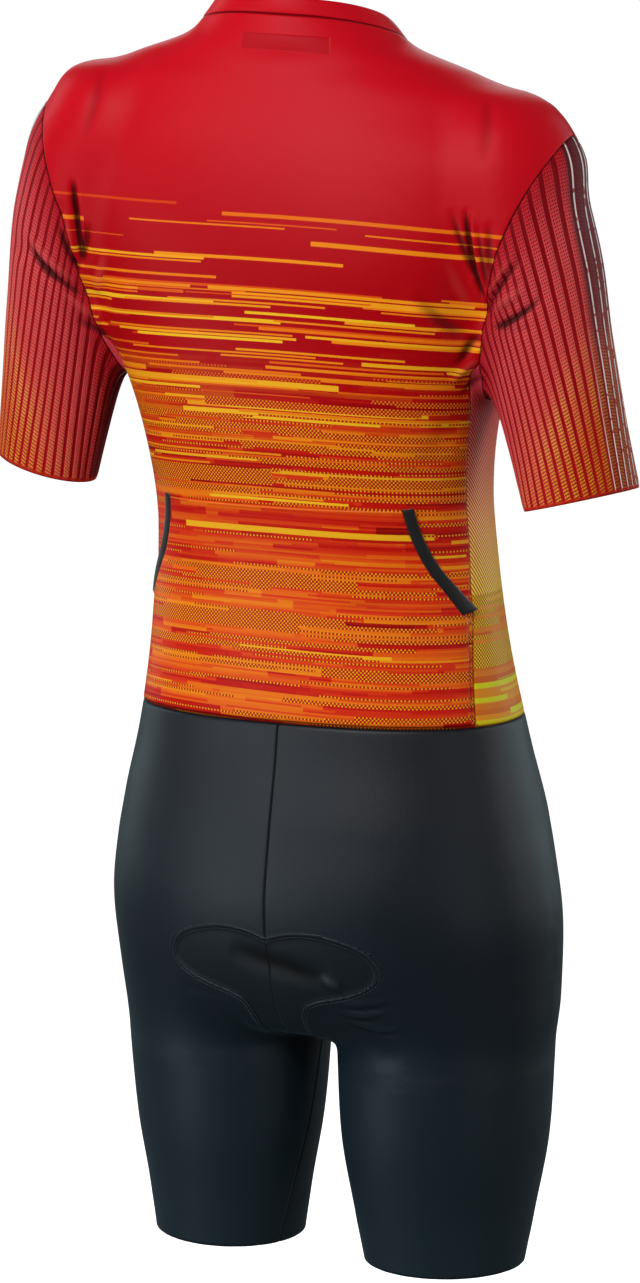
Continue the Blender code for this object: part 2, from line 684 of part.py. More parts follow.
# ---- materials ----
FINISHES = {
    "jersey_cloth": ((0.62, 0.045, 0.02), 0.55, 0.0),
    "side_cloth": ((0.80, 0.22, 0.03), 0.55, 0.0),
    "sleeve_cloth": ((0.62, 0.05, 0.05), 0.6, 0.0),
    "shorts_cloth": ((0.012, 0.017, 0.024), 0.42, 0.0),
    "trim_black": ((0.008, 0.008, 0.009), 0.5, 0.0),
    "pad_foam": ((0.03, 0.03, 0.035), 0.8, 0.0),
    "zip_plastic": ((0.02, 0.02, 0.022), 0.4, 0.0),
    "zip_metal": ((0.25, 0.25, 0.26), 0.35, 1.0),
}


def material(name):
    known = bpy.data.materials.get(name)
    if known:
        return known
    colour, roughness, metallic = FINISHES[name]
    made = bpy.data.materials.new(name)
    made.use_nodes = True
    shader = made.node_tree.nodes["Principled BSDF"]
    shader.inputs["Base Color"].default_value = (*colour, 1)
    shader.inputs["Roughness"].default_value = roughness
    shader.inputs["Metallic"].default_value = metallic
    return made


# ---- the pieces ----
def make_jersey():
    back, front, side = back_grid(), front_grid(), side_grid()
    panel("back", both_columns(back, upper_field), JERSEY_WALL, "jersey_cloth")
    for sign, word in ((1, "left"), (-1, "right")):
        panel("front_" + word, both_sides(front, upper_field, sign), JERSEY_WALL, "jersey_cloth")
        panel("side_" + word, both_sides(side, upper_field, sign), JERSEY_WALL, "side_cloth")
    return back, front, side


def both_columns(grid, field):
    """The back spans both sides, so its right half settles on the right side's form."""
    return settle(field, grid, 3, 0.005)


def make_sleeves():
    plain = sleeve_grid(1)[:, :-1]
    fine = sleeve_grid(RIB_COLUMNS)[:, :-1]
    rib = np.zeros(fine.shape[:2])
    rib[1:, ::2] = RIB_HEIGHT
    rib[1, ::2] = RIB_HEIGHT / 2
    for sign, word in ((1, "left"), (-1, "right")):
        outer_form = both_sides(fine, upper_field, sign)
        outer_form[0] = ring_chords(both_sides(plain, upper_field, sign)[0])
        inner_form = both_sides(plain, upper_field, sign)
        down = np.zeros_like(outer_form)
        down[0] = drop_from_seam(outer_form)
        down_in = np.zeros_like(inner_form)
        down_in[0] = drop_from_seam(inner_form)
        outer = layer(upper_field, outer_form, rib, down)
        outer[0] = ring_chords((inner_form + down_in)[0])
        inner = layer(upper_field, inner_form, -JERSEY_WALL, down_in)
        ribbed_tube("sleeve_" + word, outer, inner, "sleeve_cloth")


def ring_chords(knots):
    """Points along the straight runs between a ring's knots, one to each rib column."""
    after = np.roll(knots, -1, axis=0)
    share = np.arange(RIB_COLUMNS)[None, :, None] / RIB_COLUMNS
    return (knots[:, None] + (after - knots)[:, None] * share).reshape(-1, 3)


def drop_from_seam(ring_grid):
    """The move that takes a sleeve's first ring back from the armhole seam."""
    ring = ring_grid[0]
    run = np.roll(ring, -1, axis=0) - np.roll(ring, 1, axis=0)
    return from_edge(ring, run, ring_grid[1], normals(upper_field, ring))


def make_collar():
    half = collar_grid()
    grid = np.concatenate([half, mirrored(half[:, -2::-1])], axis=1)
    panel("collar", grid, JERSEY_WALL, "jersey_cloth", trunk_field)


def waist_ring(back, front, side):
    """The left half of the waist, from centre back to the zip and on to the centre front."""
    middle = outward(upper_field, (0, INSIDE_DEPTH, WAIST_HEIGHT), (0, -1.0, 0))
    ring = np.concatenate([back[-1, NECK_HALF_COLUMNS:], side[-1, 1:], front[-1, -2::-1], middle[None]])
    return ring


def make_shorts(ring):
    length = np.concatenate(([0], np.cumsum(np.linalg.norm(np.diff(ring, axis=0), axis=-1))))
    grid = shorts_grid(length / length[-1])
    grid[0] = ring
    for sign, word in ((1, "left"), (-1, "right")):
        half = both_sides(grid[1:], lower_field, sign)
        top = ring if sign > 0 else mirrored(ring)
        panel("shorts_" + word, np.concatenate([top[None], half]), SHORTS_WALL, "shorts_cloth", lower_field)


def trim_edges():
    """The wearer's left pocket binding: its inner and outer edge, as (out, height) pairs."""
    heights = np.linspace(TRIM_LINE["height"][-1], TRIM_LINE["height"][0], 9)
    out = column(TRIM_LINE, "height", heights, "out")
    line = np.stack([out, heights], -1)
    run = np.gradient(line, axis=0)
    run /= np.linalg.norm(run, axis=-1, keepdims=True)
    across = np.stack([-run[:, 1], run[:, 0]], -1)
    return line - across * TRIM_WIDTH / 2, line + across * TRIM_WIDTH / 2


def on_back(out, height):
    """The point of the jersey's back at a distance out from the centre, at a height."""
    out, height = np.broadcast_arrays(np.asarray(out, float), np.asarray(height, float))
    start = np.stack([out, 0 * out + INSIDE_DEPTH, height], -1)
    return outward(trunk_field, start, (0, 1.0, 0), reach=0.2)


def make_pocket():
    inner_edge, outer_edge_ = trim_edges()
    low = np.linspace(inner_edge[-1, 1], WAIST_HEIGHT + POCKET_OFF_WAIST, 6)[1:]
    seam = side_seam_point(low, "back")[:, 0] - POCKET_OFF_SEAM
    reach = np.concatenate([inner_edge, np.stack([seam, low], -1)])
    share = np.sin(np.linspace(-1, 1, 13) * POCKET_SPREAD) / sin(POCKET_SPREAD)
    grid = np.array([on_back(limit * share, height) for limit, height in reach])
    move = set_back(trunk_field, grid)
    wall("pocket", layer(trunk_field, grid, POCKET_LIFT + POCKET_WALL, move),
         layer(trunk_field, grid, POCKET_LIFT, move), "jersey_cloth")
    across = np.linspace(0, 1, 3)[:, None]
    for sign, word in ((1, "left"), (-1, "right")):
        strip = np.array([on_back(*(a + (b - a) * across).T) for a, b in zip(inner_edge, outer_edge_)])
        strip = strip * np.array((sign, 1, 1.0))
        move = set_back(trunk_field, strip)
        wall("pocket_trim_" + word, layer(trunk_field, strip, POCKET_LIFT + TRIM_WALL, move),
             layer(trunk_field, strip, POCKET_LIFT, move), "trim_black")


def make_seat_pad():
    turns = PAD_OUTLINE["turn"]
    share = np.linspace(-1, 1, 11)
    grid = []
    for turn, half_width in zip(turns, PAD_OUTLINE["half_width"]):
        middle = midline_point(turn)
        guess = middle + np.stack([share * half_width, 0 * share, 0 * share], -1)
        grid.append(settle(lower_field, guess, 12, 0.006))
    grid = np.array(grid)
    crown = np.sin(np.linspace(0, pi, len(turns)))[:, None]**0.5 * np.cos(share * pi / 2)[None]
    outer = layer(lower_field, grid, -PAD_DEPTH_IN)
    inner = layer(lower_field, grid, -PAD_DEPTH_IN - PAD_EDGE - PAD_CROWN * crown)
    wall("seat_pad", outer, inner, "pad_foam")


# ---- zip ----
def make_zip(front):
    """The closed zip between the fronts and through the collar, with its slider and pull."""
    fronts = front[:, 0]
    top = collar_grid()[1, 0]
    edge = np.concatenate([top[None], fronts])
    inner_run = np.array((1, 0, 0)) * SEAM_GAP / 2
    left = edge - inner_run
    left[0, 2] -= ZIP_TOP_DROP
    left[-1, 2] += SEAM_GAP / 2
    middle = left * np.array((0, 1, 1.0))
    grid = np.stack([mirrored(left), middle, left], axis=1)
    height = np.array((0.0, ZIP_RISE, 0.0))[None, :] + 0 * grid[..., 0]
    wall("zip", layer(trunk_field, grid, height), layer(trunk_field, grid, -JERSEY_WALL), "zip_plastic")


SLIDER_ROW_HEIGHT = -0.058       # height of the slider's middle on the centre front
SLIDER_SPAN = 0.012              # up and down from there, to the zip's own slope
SLIDER_ASIDE = 0.002             # and sideways
SLIDER = {"half_width": 4.0 * MM, "half_length": 5.5 * MM, "lift": 1.2 * MM, "thick": 2.0 * MM,
          "bevel": 0.5 * MM}
CROWN = {"half_width": 1.0 * MM, "half_length": 3.0 * MM, "foot": 1.3 * MM, "clear": 2.4 * MM,
         "bar": 1.2 * MM}
PULL = {"half_width": 3.2 * MM, "eye_half_width": 1.7 * MM, "eye_length": 4.6 * MM, "bar": 1.2 * MM,
        "length": 24.0 * MM, "thick": 1.2 * MM}


def slider_frame():
    """Origin on the zip, and the axes across, down the zip and out, in the stance."""
    up, aside = np.array((0, 0, SLIDER_SPAN)), np.array((SLIDER_ASIDE, 0, 0))
    start = np.array((0, INSIDE_DEPTH, SLIDER_ROW_HEIGHT)) + np.array((0 * up, -up, up, aside))
    spot, low, high, beside = stance(outward(trunk_field, start, (0, -1.0, 0)))
    down = (low - high) / np.linalg.norm(low - high)
    across = beside - spot
    across -= down * across.dot(down)
    across /= np.linalg.norm(across)
    return spot, across, down, np.cross(down, across)


def placed(frame, points):
    """Points given as (across, down, out) from the slider's frame."""
    spot, across, down, out = frame
    p = np.asarray(points, float)
    return spot + p[:, :1] * across + p[:, 1:2] * down + p[:, 2:3] * out


def extruded(name, frame, outline, half_width, finish):
    """An outline in the (down, out) plane, made half_width thick to both sides."""
    n = len(outline)
    verts = [(-half_width, d, o) for d, o in outline] + [(half_width, d, o) for d, o in outline]
    faces = [tuple(range(n)), tuple(range(2 * n - 1, n - 1, -1))]
    faces += [(i, (i + 1) % n, n + (i + 1) % n, n + i) for i in range(n)]
    return add_object(name, placed(frame, verts), faces, finish, posed=False, smooth=False)


def make_slider(frame):
    low, high = SLIDER["lift"], SLIDER["lift"] + SLIDER["thick"]
    length, bevel = SLIDER["half_length"], SLIDER["bevel"]
    body = extruded("zip_slider", frame,
                    [(-length, low), (length, low), (length, high - bevel), (length - bevel, high),
                     (-length + bevel, high), (-length, high - bevel)],
                    SLIDER["half_width"], "zip_metal")
    reach, foot, top = CROWN["half_length"], CROWN["foot"], high + CROWN["clear"]
    arch = extruded("crown", frame,
                    [(-reach, high - bevel), (-reach + foot, high - bevel), (-reach + foot, top),
                     (reach - foot, top), (reach - foot, high - bevel), (reach, high - bevel),
                     (reach, top + CROWN["bar"]), (-reach, top + CROWN["bar"])],
                    CROWN["half_width"], "zip_metal")
    arch.hide_render = True
    arch.display_type = "WIRE"
    union = body.modifiers.new("crown", "BOOLEAN")
    union.operation = "UNION"
    union.object = arch


def pull_pivot(frame):
    """The middle of the pull's upper bar, between the crown's feet."""
    height = SLIDER["lift"] + SLIDER["thick"] + CROWN["clear"] / 2
    return placed(frame, [(0, 0, height)])[0]


def make_pull(frame):
    """A flat tab with a square eye, its upper bar under the slider's crown."""
    half, eye, bar = PULL["half_width"], PULL["eye_half_width"], PULL["bar"]
    levels = (-bar / 2, bar / 2, bar / 2 + PULL["eye_length"], PULL["length"])
    columns = (-half, -eye, eye, half)
    middle = SLIDER["lift"] + SLIDER["thick"] + CROWN["clear"] / 2
    verts = []
    for out in (middle - PULL["thick"] / 2, middle + PULL["thick"] / 2):
        for k, down in enumerate(levels):
            narrow = 0.7 if k == len(levels) - 1 else 1.0
            verts += [(x * narrow, down, out) for x in columns]
    cells = [(i, j) for i in range(3) for j in range(3) if (i, j) != (1, 1)]

    def at(i, j, side):
        return side * 16 + i * 4 + j

    faces = []
    edges = {}
    for i, j in cells:
        corners = [(i, j), (i, j + 1), (i + 1, j + 1), (i + 1, j)]
        faces.append(tuple(at(*c, 0) for c in corners))
        faces.append(tuple(at(*c, 1) for c in reversed(corners)))
        for a, b in zip(corners, corners[1:] + corners[:1]):
            if (b, a) in edges:
                del edges[(b, a)]
            else:
                edges[(a, b)] = True
    for a, b in edges:
        faces.append((at(*a, 0), at(*a, 1), at(*b, 1), at(*b, 0)))
    pivot = pull_pivot(frame)
    pull = add_object("zip_pull", placed(frame, verts) - pivot, faces, "zip_metal", posed=False, smooth=False)
    pull.location = pivot


def main():
    for thing in list(bpy.data.objects):
        bpy.data.objects.remove(thing, do_unlink=True)
    back, front, side = make_jersey()
    make_sleeves()
    make_collar()
    make_shorts(waist_ring(back, front, side))
    make_pocket()
    make_seat_pad()
    make_zip(front)
    frame = slider_frame()
    make_slider(frame)
    make_pull(frame)


main()
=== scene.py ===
"""Looks of the short-sleeved cycling skinsuit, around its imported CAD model.

Each sewn piece is a fine thin shell on the same form as its solid: metres,
+Z up, -Y the front, +X the wearer's left, the origin in the middle of the neck.
The form is worked out upright and symmetric, and stance() turns and tips the
shoulders.  Colours, knit and print come from nodes that read each shell's own
measures: how far round and up a point lies, and how far from its seams.
"""
from math import cos, pi, radians, sin

import bpy
import numpy as np
from mathutils import Matrix


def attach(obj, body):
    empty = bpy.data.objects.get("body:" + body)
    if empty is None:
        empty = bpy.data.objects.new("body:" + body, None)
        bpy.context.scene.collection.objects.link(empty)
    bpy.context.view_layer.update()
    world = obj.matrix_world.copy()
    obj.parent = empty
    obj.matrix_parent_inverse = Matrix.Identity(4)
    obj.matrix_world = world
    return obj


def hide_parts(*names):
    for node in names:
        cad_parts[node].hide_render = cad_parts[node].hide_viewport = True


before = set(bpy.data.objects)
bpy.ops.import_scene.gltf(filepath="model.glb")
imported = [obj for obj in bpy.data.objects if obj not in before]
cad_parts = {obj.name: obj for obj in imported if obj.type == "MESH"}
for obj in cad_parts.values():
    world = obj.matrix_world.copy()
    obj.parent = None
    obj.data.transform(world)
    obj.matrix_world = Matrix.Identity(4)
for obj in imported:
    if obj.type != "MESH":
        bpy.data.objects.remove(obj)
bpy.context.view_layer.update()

MM = 0.001

# ---- driving dimensions, as in the part ----
JERSEY_WALL = 1.2 * MM
SHORTS_WALL = 1.4 * MM
WAIST_HEIGHT = -0.500
LEG_HEM_HEIGHT = -0.913
CROTCH_HEIGHT = -0.740
COLLAR_HEIGHT = 0.012
NECK_BACK_HEIGHT = 0.003
NECK_FRONT_DROP = 0.035
NECK_DROP_LATE = 1.8
SHOULDER_SEAM_ANGLE = 100.0
ARMHOLE_CENTRE = (0.163, 0.0, -0.150)
ARMHOLE_LEAN_ABOVE = 0.38
ARMHOLE_LEAN_BELOW = 0.20
SIDE_BOW = 6.0 * MM
ZIP_HALF_WIDTH = 3.0 * MM
TRIM_WIDTH = 7.0 * MM
POCKET_LIFT = 1.2 * MM
POCKET_WALL = 1.2 * MM
POCKET_OFF_WAIST = 1.5 * MM
POCKET_OFF_SEAM = 2.5 * MM
POCKET_SPREAD = 1.2
TRIM_WALL = 1.8 * MM
PAD_DEPTH_IN = 4.6 * MM
PAD_EDGE = 2.0 * MM
PAD_CROWN = 5.0 * MM

# ---- how the panels' rows run, as in the part ----
INSIDE_DEPTH = -0.020
ROW_BOW = 2.5
ROW_DROP = 1.5
EVEN_HEM_SHARE = 0.6
HUB_RISE = 0.020
AXIS_SHIFT = 1.6
DIP_SHARE = 0.22

# ---- counts of the panels' coarse grids, as in the part ----
NECK_HALF_COLUMNS = 8
SHOULDER_ROWS = 6
ARMHOLE_ROWS = 8
UNDERARM_COLUMNS = 3
SIDE_ROWS = 10
SLEEVE_ROWS = 7
SEAT_ROWS = 4
CROTCH_ROWS = 8
LEG_ROWS = 6

# ---- how finely each coarse cell is split here ----
ROW_PARTS = 10
COLUMN_PARTS = 9
RIBS_TO_KNOT = 2
COLUMNS_TO_RIB = 8
SLEEVE_ROW_PARTS = 11
SEAT_PARTS = 9
CROTCH_PARTS = 12
FINE_COLUMNS = 5
FINE_COLUMN_PARTS = 15
LEG_PARTS = 10


def rows(names, *values):
    """A short table: a dictionary of named columns, in rising order of the first."""
    table = sorted(values)
    return {name: np.array([row[i] for row in table], float) for i, name in enumerate(names.split())}


TRUNK = rows(
    "height half_width front widest back fullness",
    (0.030, 0.052, -0.046, 0.004, 0.048, 2.0),
    (0.000, 0.068, -0.056, 0.004, 0.052, 2.0),
    (-0.015, 0.084, -0.062, 0.004, 0.055, 2.0),
    (-0.030, 0.124, -0.074, 0.000, 0.056, 2.0),
    (-0.045, 0.158, -0.082, 0.003, 0.060, 2.05),
    (-0.062, 0.176, -0.090, 0.006, 0.064, 2.1),
    (-0.085, 0.193, -0.100, 0.008, 0.070, 2.3),
    (-0.120, 0.182, -0.110, 0.008, 0.077, 2.5),
    (-0.170, 0.168, -0.120, 0.004, 0.083, 2.5),
    (-0.220, 0.153, -0.124, -0.004, 0.082, 2.4),
    (-0.280, 0.134, -0.122, -0.010, 0.074, 2.3),
    (-0.340, 0.127, -0.118, -0.016, 0.058, 2.3),
    (-0.390, 0.130, -0.118, -0.022, 0.049, 2.3),
    (-0.450, 0.137, -0.124, -0.028, 0.050, 2.3),
    (-0.520, 0.151, -0.132, -0.036, 0.057, 2.3),
    (-0.580, 0.165, -0.138, -0.042, 0.069, 2.3),
    (-0.635, 0.168, -0.140, -0.045, 0.076, 2.3),
    (-0.690, 0.166, -0.136, -0.046, 0.066, 2.3),
    (-0.740, 0.157, -0.126, -0.048, 0.044, 2.3),
    (-0.800, 0.140, -0.110, -0.050, 0.010, 2.3),
)
SHOULDER_JOINT = np.array((0.152, 0.006, -0.096))
SLEEVE_END = np.array((0.214, 0.007, -0.330))
SLEEVE = rows(
    "along side depth turn",
    (-0.050, 0.036, 0.042, 0),
    (0.000, 0.047, 0.052, 0),
    (0.060, 0.052, 0.056, 0),
    (0.130, 0.046, 0.048, 20),
    (0.200, 0.042, 0.040, 40),
    (0.245, 0.0415, 0.0365, 45),
    (0.300, 0.041, 0.036, 45),
)
HIP_JOINT = np.array((0.090, -0.045, -0.640))
LEG_END = np.array((0.090, -0.043, -0.930))
LEG = rows(
    "along side depth turn",
    (-0.060, 0.060, 0.070, 45),
    (0.000, 0.078, 0.084, 45),
    (0.060, 0.082, 0.079, 45),
    (0.125, 0.081, 0.076, 45),
    (0.180, 0.078, 0.071, 45),
    (0.240, 0.067, 0.061, 40),
    (0.290, 0.058, 0.055, 30),
    (0.340, 0.059, 0.056, 30),
)
ARMPIT_BLEND = 0.018
ARMPIT_KEEN = 0.001
CROTCH_BLEND = 0.017
HIP_FLOOR_BLEND = 0.035
CROTCH_TO_THIGH = 0.020
INNER_LEG_BLEND = 0.004
CAP_BLEND = 0.030
INSEAM_BACK = 0.5

SIDE_SEAM = rows(
    "height back front",
    (-0.230, 0.037, -0.030),
    (-0.276, 0.014, -0.048),
    (-0.314, 0.006, -0.056),
    (-0.366, -0.001, -0.063),
    (-0.424, -0.001, -0.067),
    (-0.480, 0.005, -0.070),
    (-0.500, 0.007, -0.071),
)
ARMHOLE_BACK_TURN = 155.0
ARMHOLE_FRONT_TURN = 200.0

TRIM_LINE = rows(
    "height out",
    (-0.341, 0.0945),
    (-0.360, 0.0985),
    (-0.383, 0.1070),
    (-0.404, 0.1190),
    (-0.418, 0.1265),
)
PAD_OUTLINE = rows(
    "turn half_width",
    (14, 0.044),
    (17, 0.070),
    (21, 0.083),
    (26, 0.087),
    (31, 0.084),
    (34.5, 0.074),
    (37.5, 0.056),
    (40, 0.040),
    (45, 0.034),
    (60, 0.032),
    (90, 0.035),
    (115, 0.038),
    (135, 0.040),
    (150, 0.028),
)

# Largest folds, as in the part: height along a straight line, from its two ends.
FOLDS = rows(
    "number side x0 y0 z0 x1 y1 z1 depth width",
    (1, -1, 0.150, 0.052, -0.196, 0.133, 0.070, -0.150, -0.0030, 0.010),
    (2, -1, 0.140, 0.045, -0.232, 0.112, 0.072, -0.196, 0.0022, 0.012),
    (3, -1, 0.160, 0.050, -0.190, 0.192, 0.046, -0.176, -0.0028, 0.009),
    (4, -1, 0.126, 0.036, -0.290, 0.112, 0.052, -0.322, -0.0020, 0.012),
    (5, 1, 0.160, 0.062, -0.150, 0.158, 0.060, -0.190, -0.0022, 0.010),
    (6, 1, 0.152, 0.050, -0.205, 0.196, 0.044, -0.176, -0.0030, 0.010),
    (7, 1, 0.140, 0.045, -0.232, 0.116, 0.070, -0.200, 0.0020, 0.012),
    (8, -1, 0.040, 0.056, -0.716, 0.078, 0.040, -0.742, -0.0022, 0.010),
    (9, 1, 0.030, 0.050, -0.722, 0.070, 0.040, -0.738, -0.0016, 0.010),
)

STANCE_FOOT = -0.36
STANCE_TOP = -0.02
SHOULDER_TURN = 9.5
SHOULDER_TIP = 0.065
SHOULDER_SHIFT = (0.003, 0.008)
TIP_GAIN = 1.6
SHOULDER_SWAY = -0.007
SWAY_HEIGHT = -0.065
SWAY_REACH = 0.035
SWAY_CALM = 0.09

# Finer creases on the shells: a ridge (+) or trough (-) on a line that bows by
# "bow" downwards at its middle.
CREASES = rows(
    "number side x0 y0 z0 x1 y1 z1 bow depth width",
    # at the wearer's right armpit, on the back
    (1, -1, 0.140, 0.065, -0.120, 0.152, 0.059, -0.186, 0.002, -0.0042, 0.0025),
    (2, -1, 0.144, 0.065, -0.122, 0.155, 0.060, -0.184, 0.001, 0.0018, 0.0022),
    (3, -1, 0.149, 0.064, -0.130, 0.157, 0.060, -0.186, 0.000, -0.0022, 0.0024),
    (4, -1, 0.128, 0.068, -0.150, 0.150, 0.058, -0.198, 0.004, 0.0013, 0.0060),
    (5, -1, 0.108, 0.072, -0.182, 0.146, 0.055, -0.212, 0.004, -0.0016, 0.0060),
    (42, -1, 0.130, 0.067, -0.120, 0.146, 0.060, -0.168, 0.002, -0.0022, 0.0026),
    (45, -1, 0.157, 0.060, -0.128, 0.160, 0.058, -0.172, 0.000, -0.0018, 0.0036),
    # sleeve, from the wearer's right armpit up and out
    (6, -1, 0.156, 0.057, -0.190, 0.178, 0.061, -0.150, -0.004, 0.0024, 0.0042),
    (7, -1, 0.158, 0.056, -0.196, 0.185, 0.058, -0.172, -0.003, 0.0024, 0.0040),
    (8, -1, 0.160, 0.056, -0.205, 0.196, 0.052, -0.196, 0.002, -0.0008, 0.0045),
    (43, -1, 0.155, 0.055, -0.196, 0.181, 0.061, -0.150, -0.003, -0.0036, 0.0026),
    (44, -1, 0.158, 0.055, -0.204, 0.196, 0.056, -0.178, 0.004, -0.0030, 0.0026),
    # side panel and the back beside it, right
    (9, -1, 0.127, 0.040, -0.232, 0.150, 0.048, -0.208, 0.000, -0.0022, 0.0035),
    (10, -1, 0.125, 0.040, -0.246, 0.146, 0.040, -0.226, 0.000, 0.0022, 0.0040),
    (11, -1, 0.130, 0.030, -0.258, 0.148, 0.030, -0.240, 0.000, -0.0018, 0.0035),
    # at the wearer's left armpit
    (12, 1, 0.153, 0.065, -0.122, 0.151, 0.060, -0.184, 0.000, -0.0040, 0.0025),
    (13, 1, 0.160, 0.064, -0.144, 0.157, 0.060, -0.180, 0.000, 0.0018, 0.0032),
    (14, 1, 0.166, 0.063, -0.155, 0.154, 0.058, -0.190, 0.002, -0.0028, 0.0028),
    (15, 1, 0.142, 0.063, -0.152, 0.149, 0.060, -0.180, 0.000, -0.0020, 0.0030),
    (16, 1, 0.130, 0.066, -0.170, 0.147, 0.056, -0.205, 0.003, 0.0018, 0.0050),
    # sleeve, left
    (17, 1, 0.193, 0.057, -0.170, 0.153, 0.052, -0.207, 0.003, -0.0038, 0.0036),
    (18, 1, 0.190, 0.057, -0.164, 0.156, 0.055, -0.199, 0.002, 0.0026, 0.0040),
    (19, 1, 0.174, 0.059, -0.190, 0.143, 0.044, -0.224, 0.003, 0.0022, 0.0040),
    (20, 1, 0.160, 0.050, -0.222, 0.137, 0.036, -0.236, 0.000, -0.0020, 0.0040),
    # soft lines over the shoulders, where the cloth turns onto the arm
    (21, 1, 0.140, 0.030, -0.048, 0.148, 0.062, -0.096, 0.000, -0.0010, 0.0060),
    (22, -1, 0.140, 0.030, -0.048, 0.148, 0.060, -0.090, 0.000, -0.0010, 0.0060),
    # the seat pad's hollow, and the creases where it meets the wearer's right thigh
    (23, 1, 0.030, 0.072, -0.666, -0.046, 0.069, -0.684, 0.001, -0.0024, 0.0085),
    (24, 1, -0.040, 0.070, -0.684, -0.056, 0.066, -0.688, 0.000, 0.0022, 0.0040),
    (25, -1, 0.046, 0.059, -0.7010, 0.092, 0.053, -0.6960, 0.001, 0.0012, 0.0016),
    (26, -1, 0.047, 0.058, -0.7045, 0.090, 0.052, -0.7010, 0.002, -0.0014, 0.0017),
    (27, -1, 0.048, 0.057, -0.7080, 0.086, 0.052, -0.7060, 0.003, 0.0013, 0.0016),
    (28, -1, 0.049, 0.056, -0.7115, 0.084, 0.048, -0.7100, 0.004, -0.0014, 0.0018),
    (29, -1, 0.050, 0.054, -0.7155, 0.094, 0.046, -0.7190, 0.006, 0.0016, 0.0018),
    (30, 1, 0.046, 0.058, -0.7050, 0.082, 0.052, -0.7020, 0.001, -0.0008, 0.0024),
    (31, 1, 0.044, 0.056, -0.7110, 0.078, 0.050, -0.7100, 0.002, 0.0008, 0.0024),
    (46, -1, 0.051, 0.054, -0.7200, 0.092, 0.046, -0.7235, 0.006, -0.0012, 0.0020),
    # the front's own pulls: armpits, waist and the tops of the thighs
    (32, 1, 0.146, -0.058, -0.150, 0.152, -0.050, -0.200, 0.000, -0.0016, 0.0040),
    (33, 1, 0.130, -0.070, -0.176, 0.148, -0.050, -0.214, 0.004, 0.0014, 0.0050),
    (34, -1, 0.146, -0.058, -0.146, 0.152, -0.050, -0.198, 0.000, -0.0016, 0.0040),
    (35, -1, 0.128, -0.072, -0.180, 0.148, -0.050, -0.216, 0.004, 0.0014, 0.0050),
    (36, 1, 0.020, -0.124, -0.430, 0.090, -0.100, -0.446, 0.004, -0.0010, 0.0060),
    (37, -1, 0.016, -0.124, -0.452, 0.084, -0.102, -0.438, 0.004, -0.0010, 0.0060),
    (38, 1, 0.022, -0.118, -0.742, 0.086, -0.126, -0.700, 0.004, -0.0014, 0.0060),
    (39, -1, 0.022, -0.118, -0.738, 0.082, -0.126, -0.704, 0.004, -0.0014, 0.0060),
    # across the low back
    (40, 1, 0.040, 0.058, -0.392, 0.112, 0.034, -0.380, 0.004, -0.0007, 0.0070),
    (41, -1, 0.036, 0.056, -0.412, 0.108, 0.034, -0.402, 0.004, -0.0007, 0.0070),
)


# ---- the form, as in the part ----
def column(table, key, at, name):
    """A table's column at any place, on a smooth curve through its rows."""
    x, y = table[key], table[name]
    slope = np.gradient(y, x)
    at = np.clip(at, x[0], x[-1])
    i = np.clip(np.searchsorted(x, at) - 1, 0, len(x) - 2)
    step = x[i + 1] - x[i]
    t = (at - x[i]) / step
    start = (2 * t**3 - 3 * t**2 + 1) * y[i] + (t**3 - 2 * t**2 + t) * step * slope[i]
    end = (-2 * t**3 + 3 * t**2) * y[i + 1] + (t**3 - t**2) * step * slope[i + 1]
    return start + end


def join(a, b, blend):
    """Smooth union of two fields."""
    h = np.clip(0.5 + 0.5 * (b - a) / blend, 0, 1)
    return b * (1 - h) + a * h - blend * h * (1 - h)


def cut(a, b, blend):
    """Smooth intersection of two fields."""
    return -join(-a, -b, blend)


def trunk_at(height):
    """The trunk's half width, front, widest place, back and fullness at a height."""
    return [column(TRUNK, "height", height, name) for name in list(TRUNK)[1:]]


def trunk_field(p):
    x, y, z = p[..., 0], p[..., 1], p[..., 2]
    half_width, front, widest, back, fullness = trunk_at(z)
    depth = np.where(y > widest, back - widest, widest - front)
    reach = np.abs(x / half_width)**fullness + np.abs((y - widest) / depth)**fullness + 1e-12
    reach = reach**(1 / fullness)
    return (reach - 1) * np.minimum(half_width, depth)


def limb_axes(start, end):
    along = (end - start) / np.linalg.norm(end - start)
    depth = np.array((0, 1.0, 0))
    depth = depth - along * depth.dot(along)
    depth /= np.linalg.norm(depth)
    side = np.cross(depth, along)
    return along, side * np.sign(side[0]), depth


def limb_field(p, start, end, table, side_sign):
    along, side, depth = limb_axes(start, end)
    d = p * np.array((side_sign, 1, 1.0)) - start
    t, u, v = d @ along, d @ side, d @ depth
    long_half, short_half = column(table, "along", t, "side"), column(table, "along", t, "depth")
    turn = np.radians(column(table, "along", t, "turn"))
    a = u * np.cos(turn) - v * np.sin(turn)
    b = u * np.sin(turn) + v * np.cos(turn)
    reach = np.sqrt((a / long_half)**2 + (b / short_half)**2 + 1e-12)
    return cut((reach - 1) * np.minimum(long_half, short_half), table["along"][0] - t, CAP_BLEND)


def arm_field(p, side_sign):
    return limb_field(p, SHOULDER_JOINT, SLEEVE_END, SLEEVE, side_sign)


def leg_field(p, side_sign):
    return limb_field(p, HIP_JOINT, LEG_END, LEG, side_sign)


def lines_of(table):
    """Each row's line: its two ends on its own side of the body, and the row."""
    for i in range(len(table["side"])):
        row = {name: values[i] for name, values in table.items()}
        start = np.array((row["side"] * row["x0"], row["y0"], row["z0"]))
        yield start, np.array((row["side"] * row["x1"], row["y1"], row["z1"])), row


def fold_height(p):
    """Height at each point of the largest folds."""
    height = np.zeros(p.shape[:-1])
    for a, b, f in lines_of(FOLDS):
        run = np.clip((p - a) @ (b - a) / (b - a).dot(b - a), 0, 1)
        off = np.linalg.norm(p - a - run[..., None] * (b - a), axis=-1)
        height += f["depth"] * np.exp(-(off / f["width"])**2)
    return height


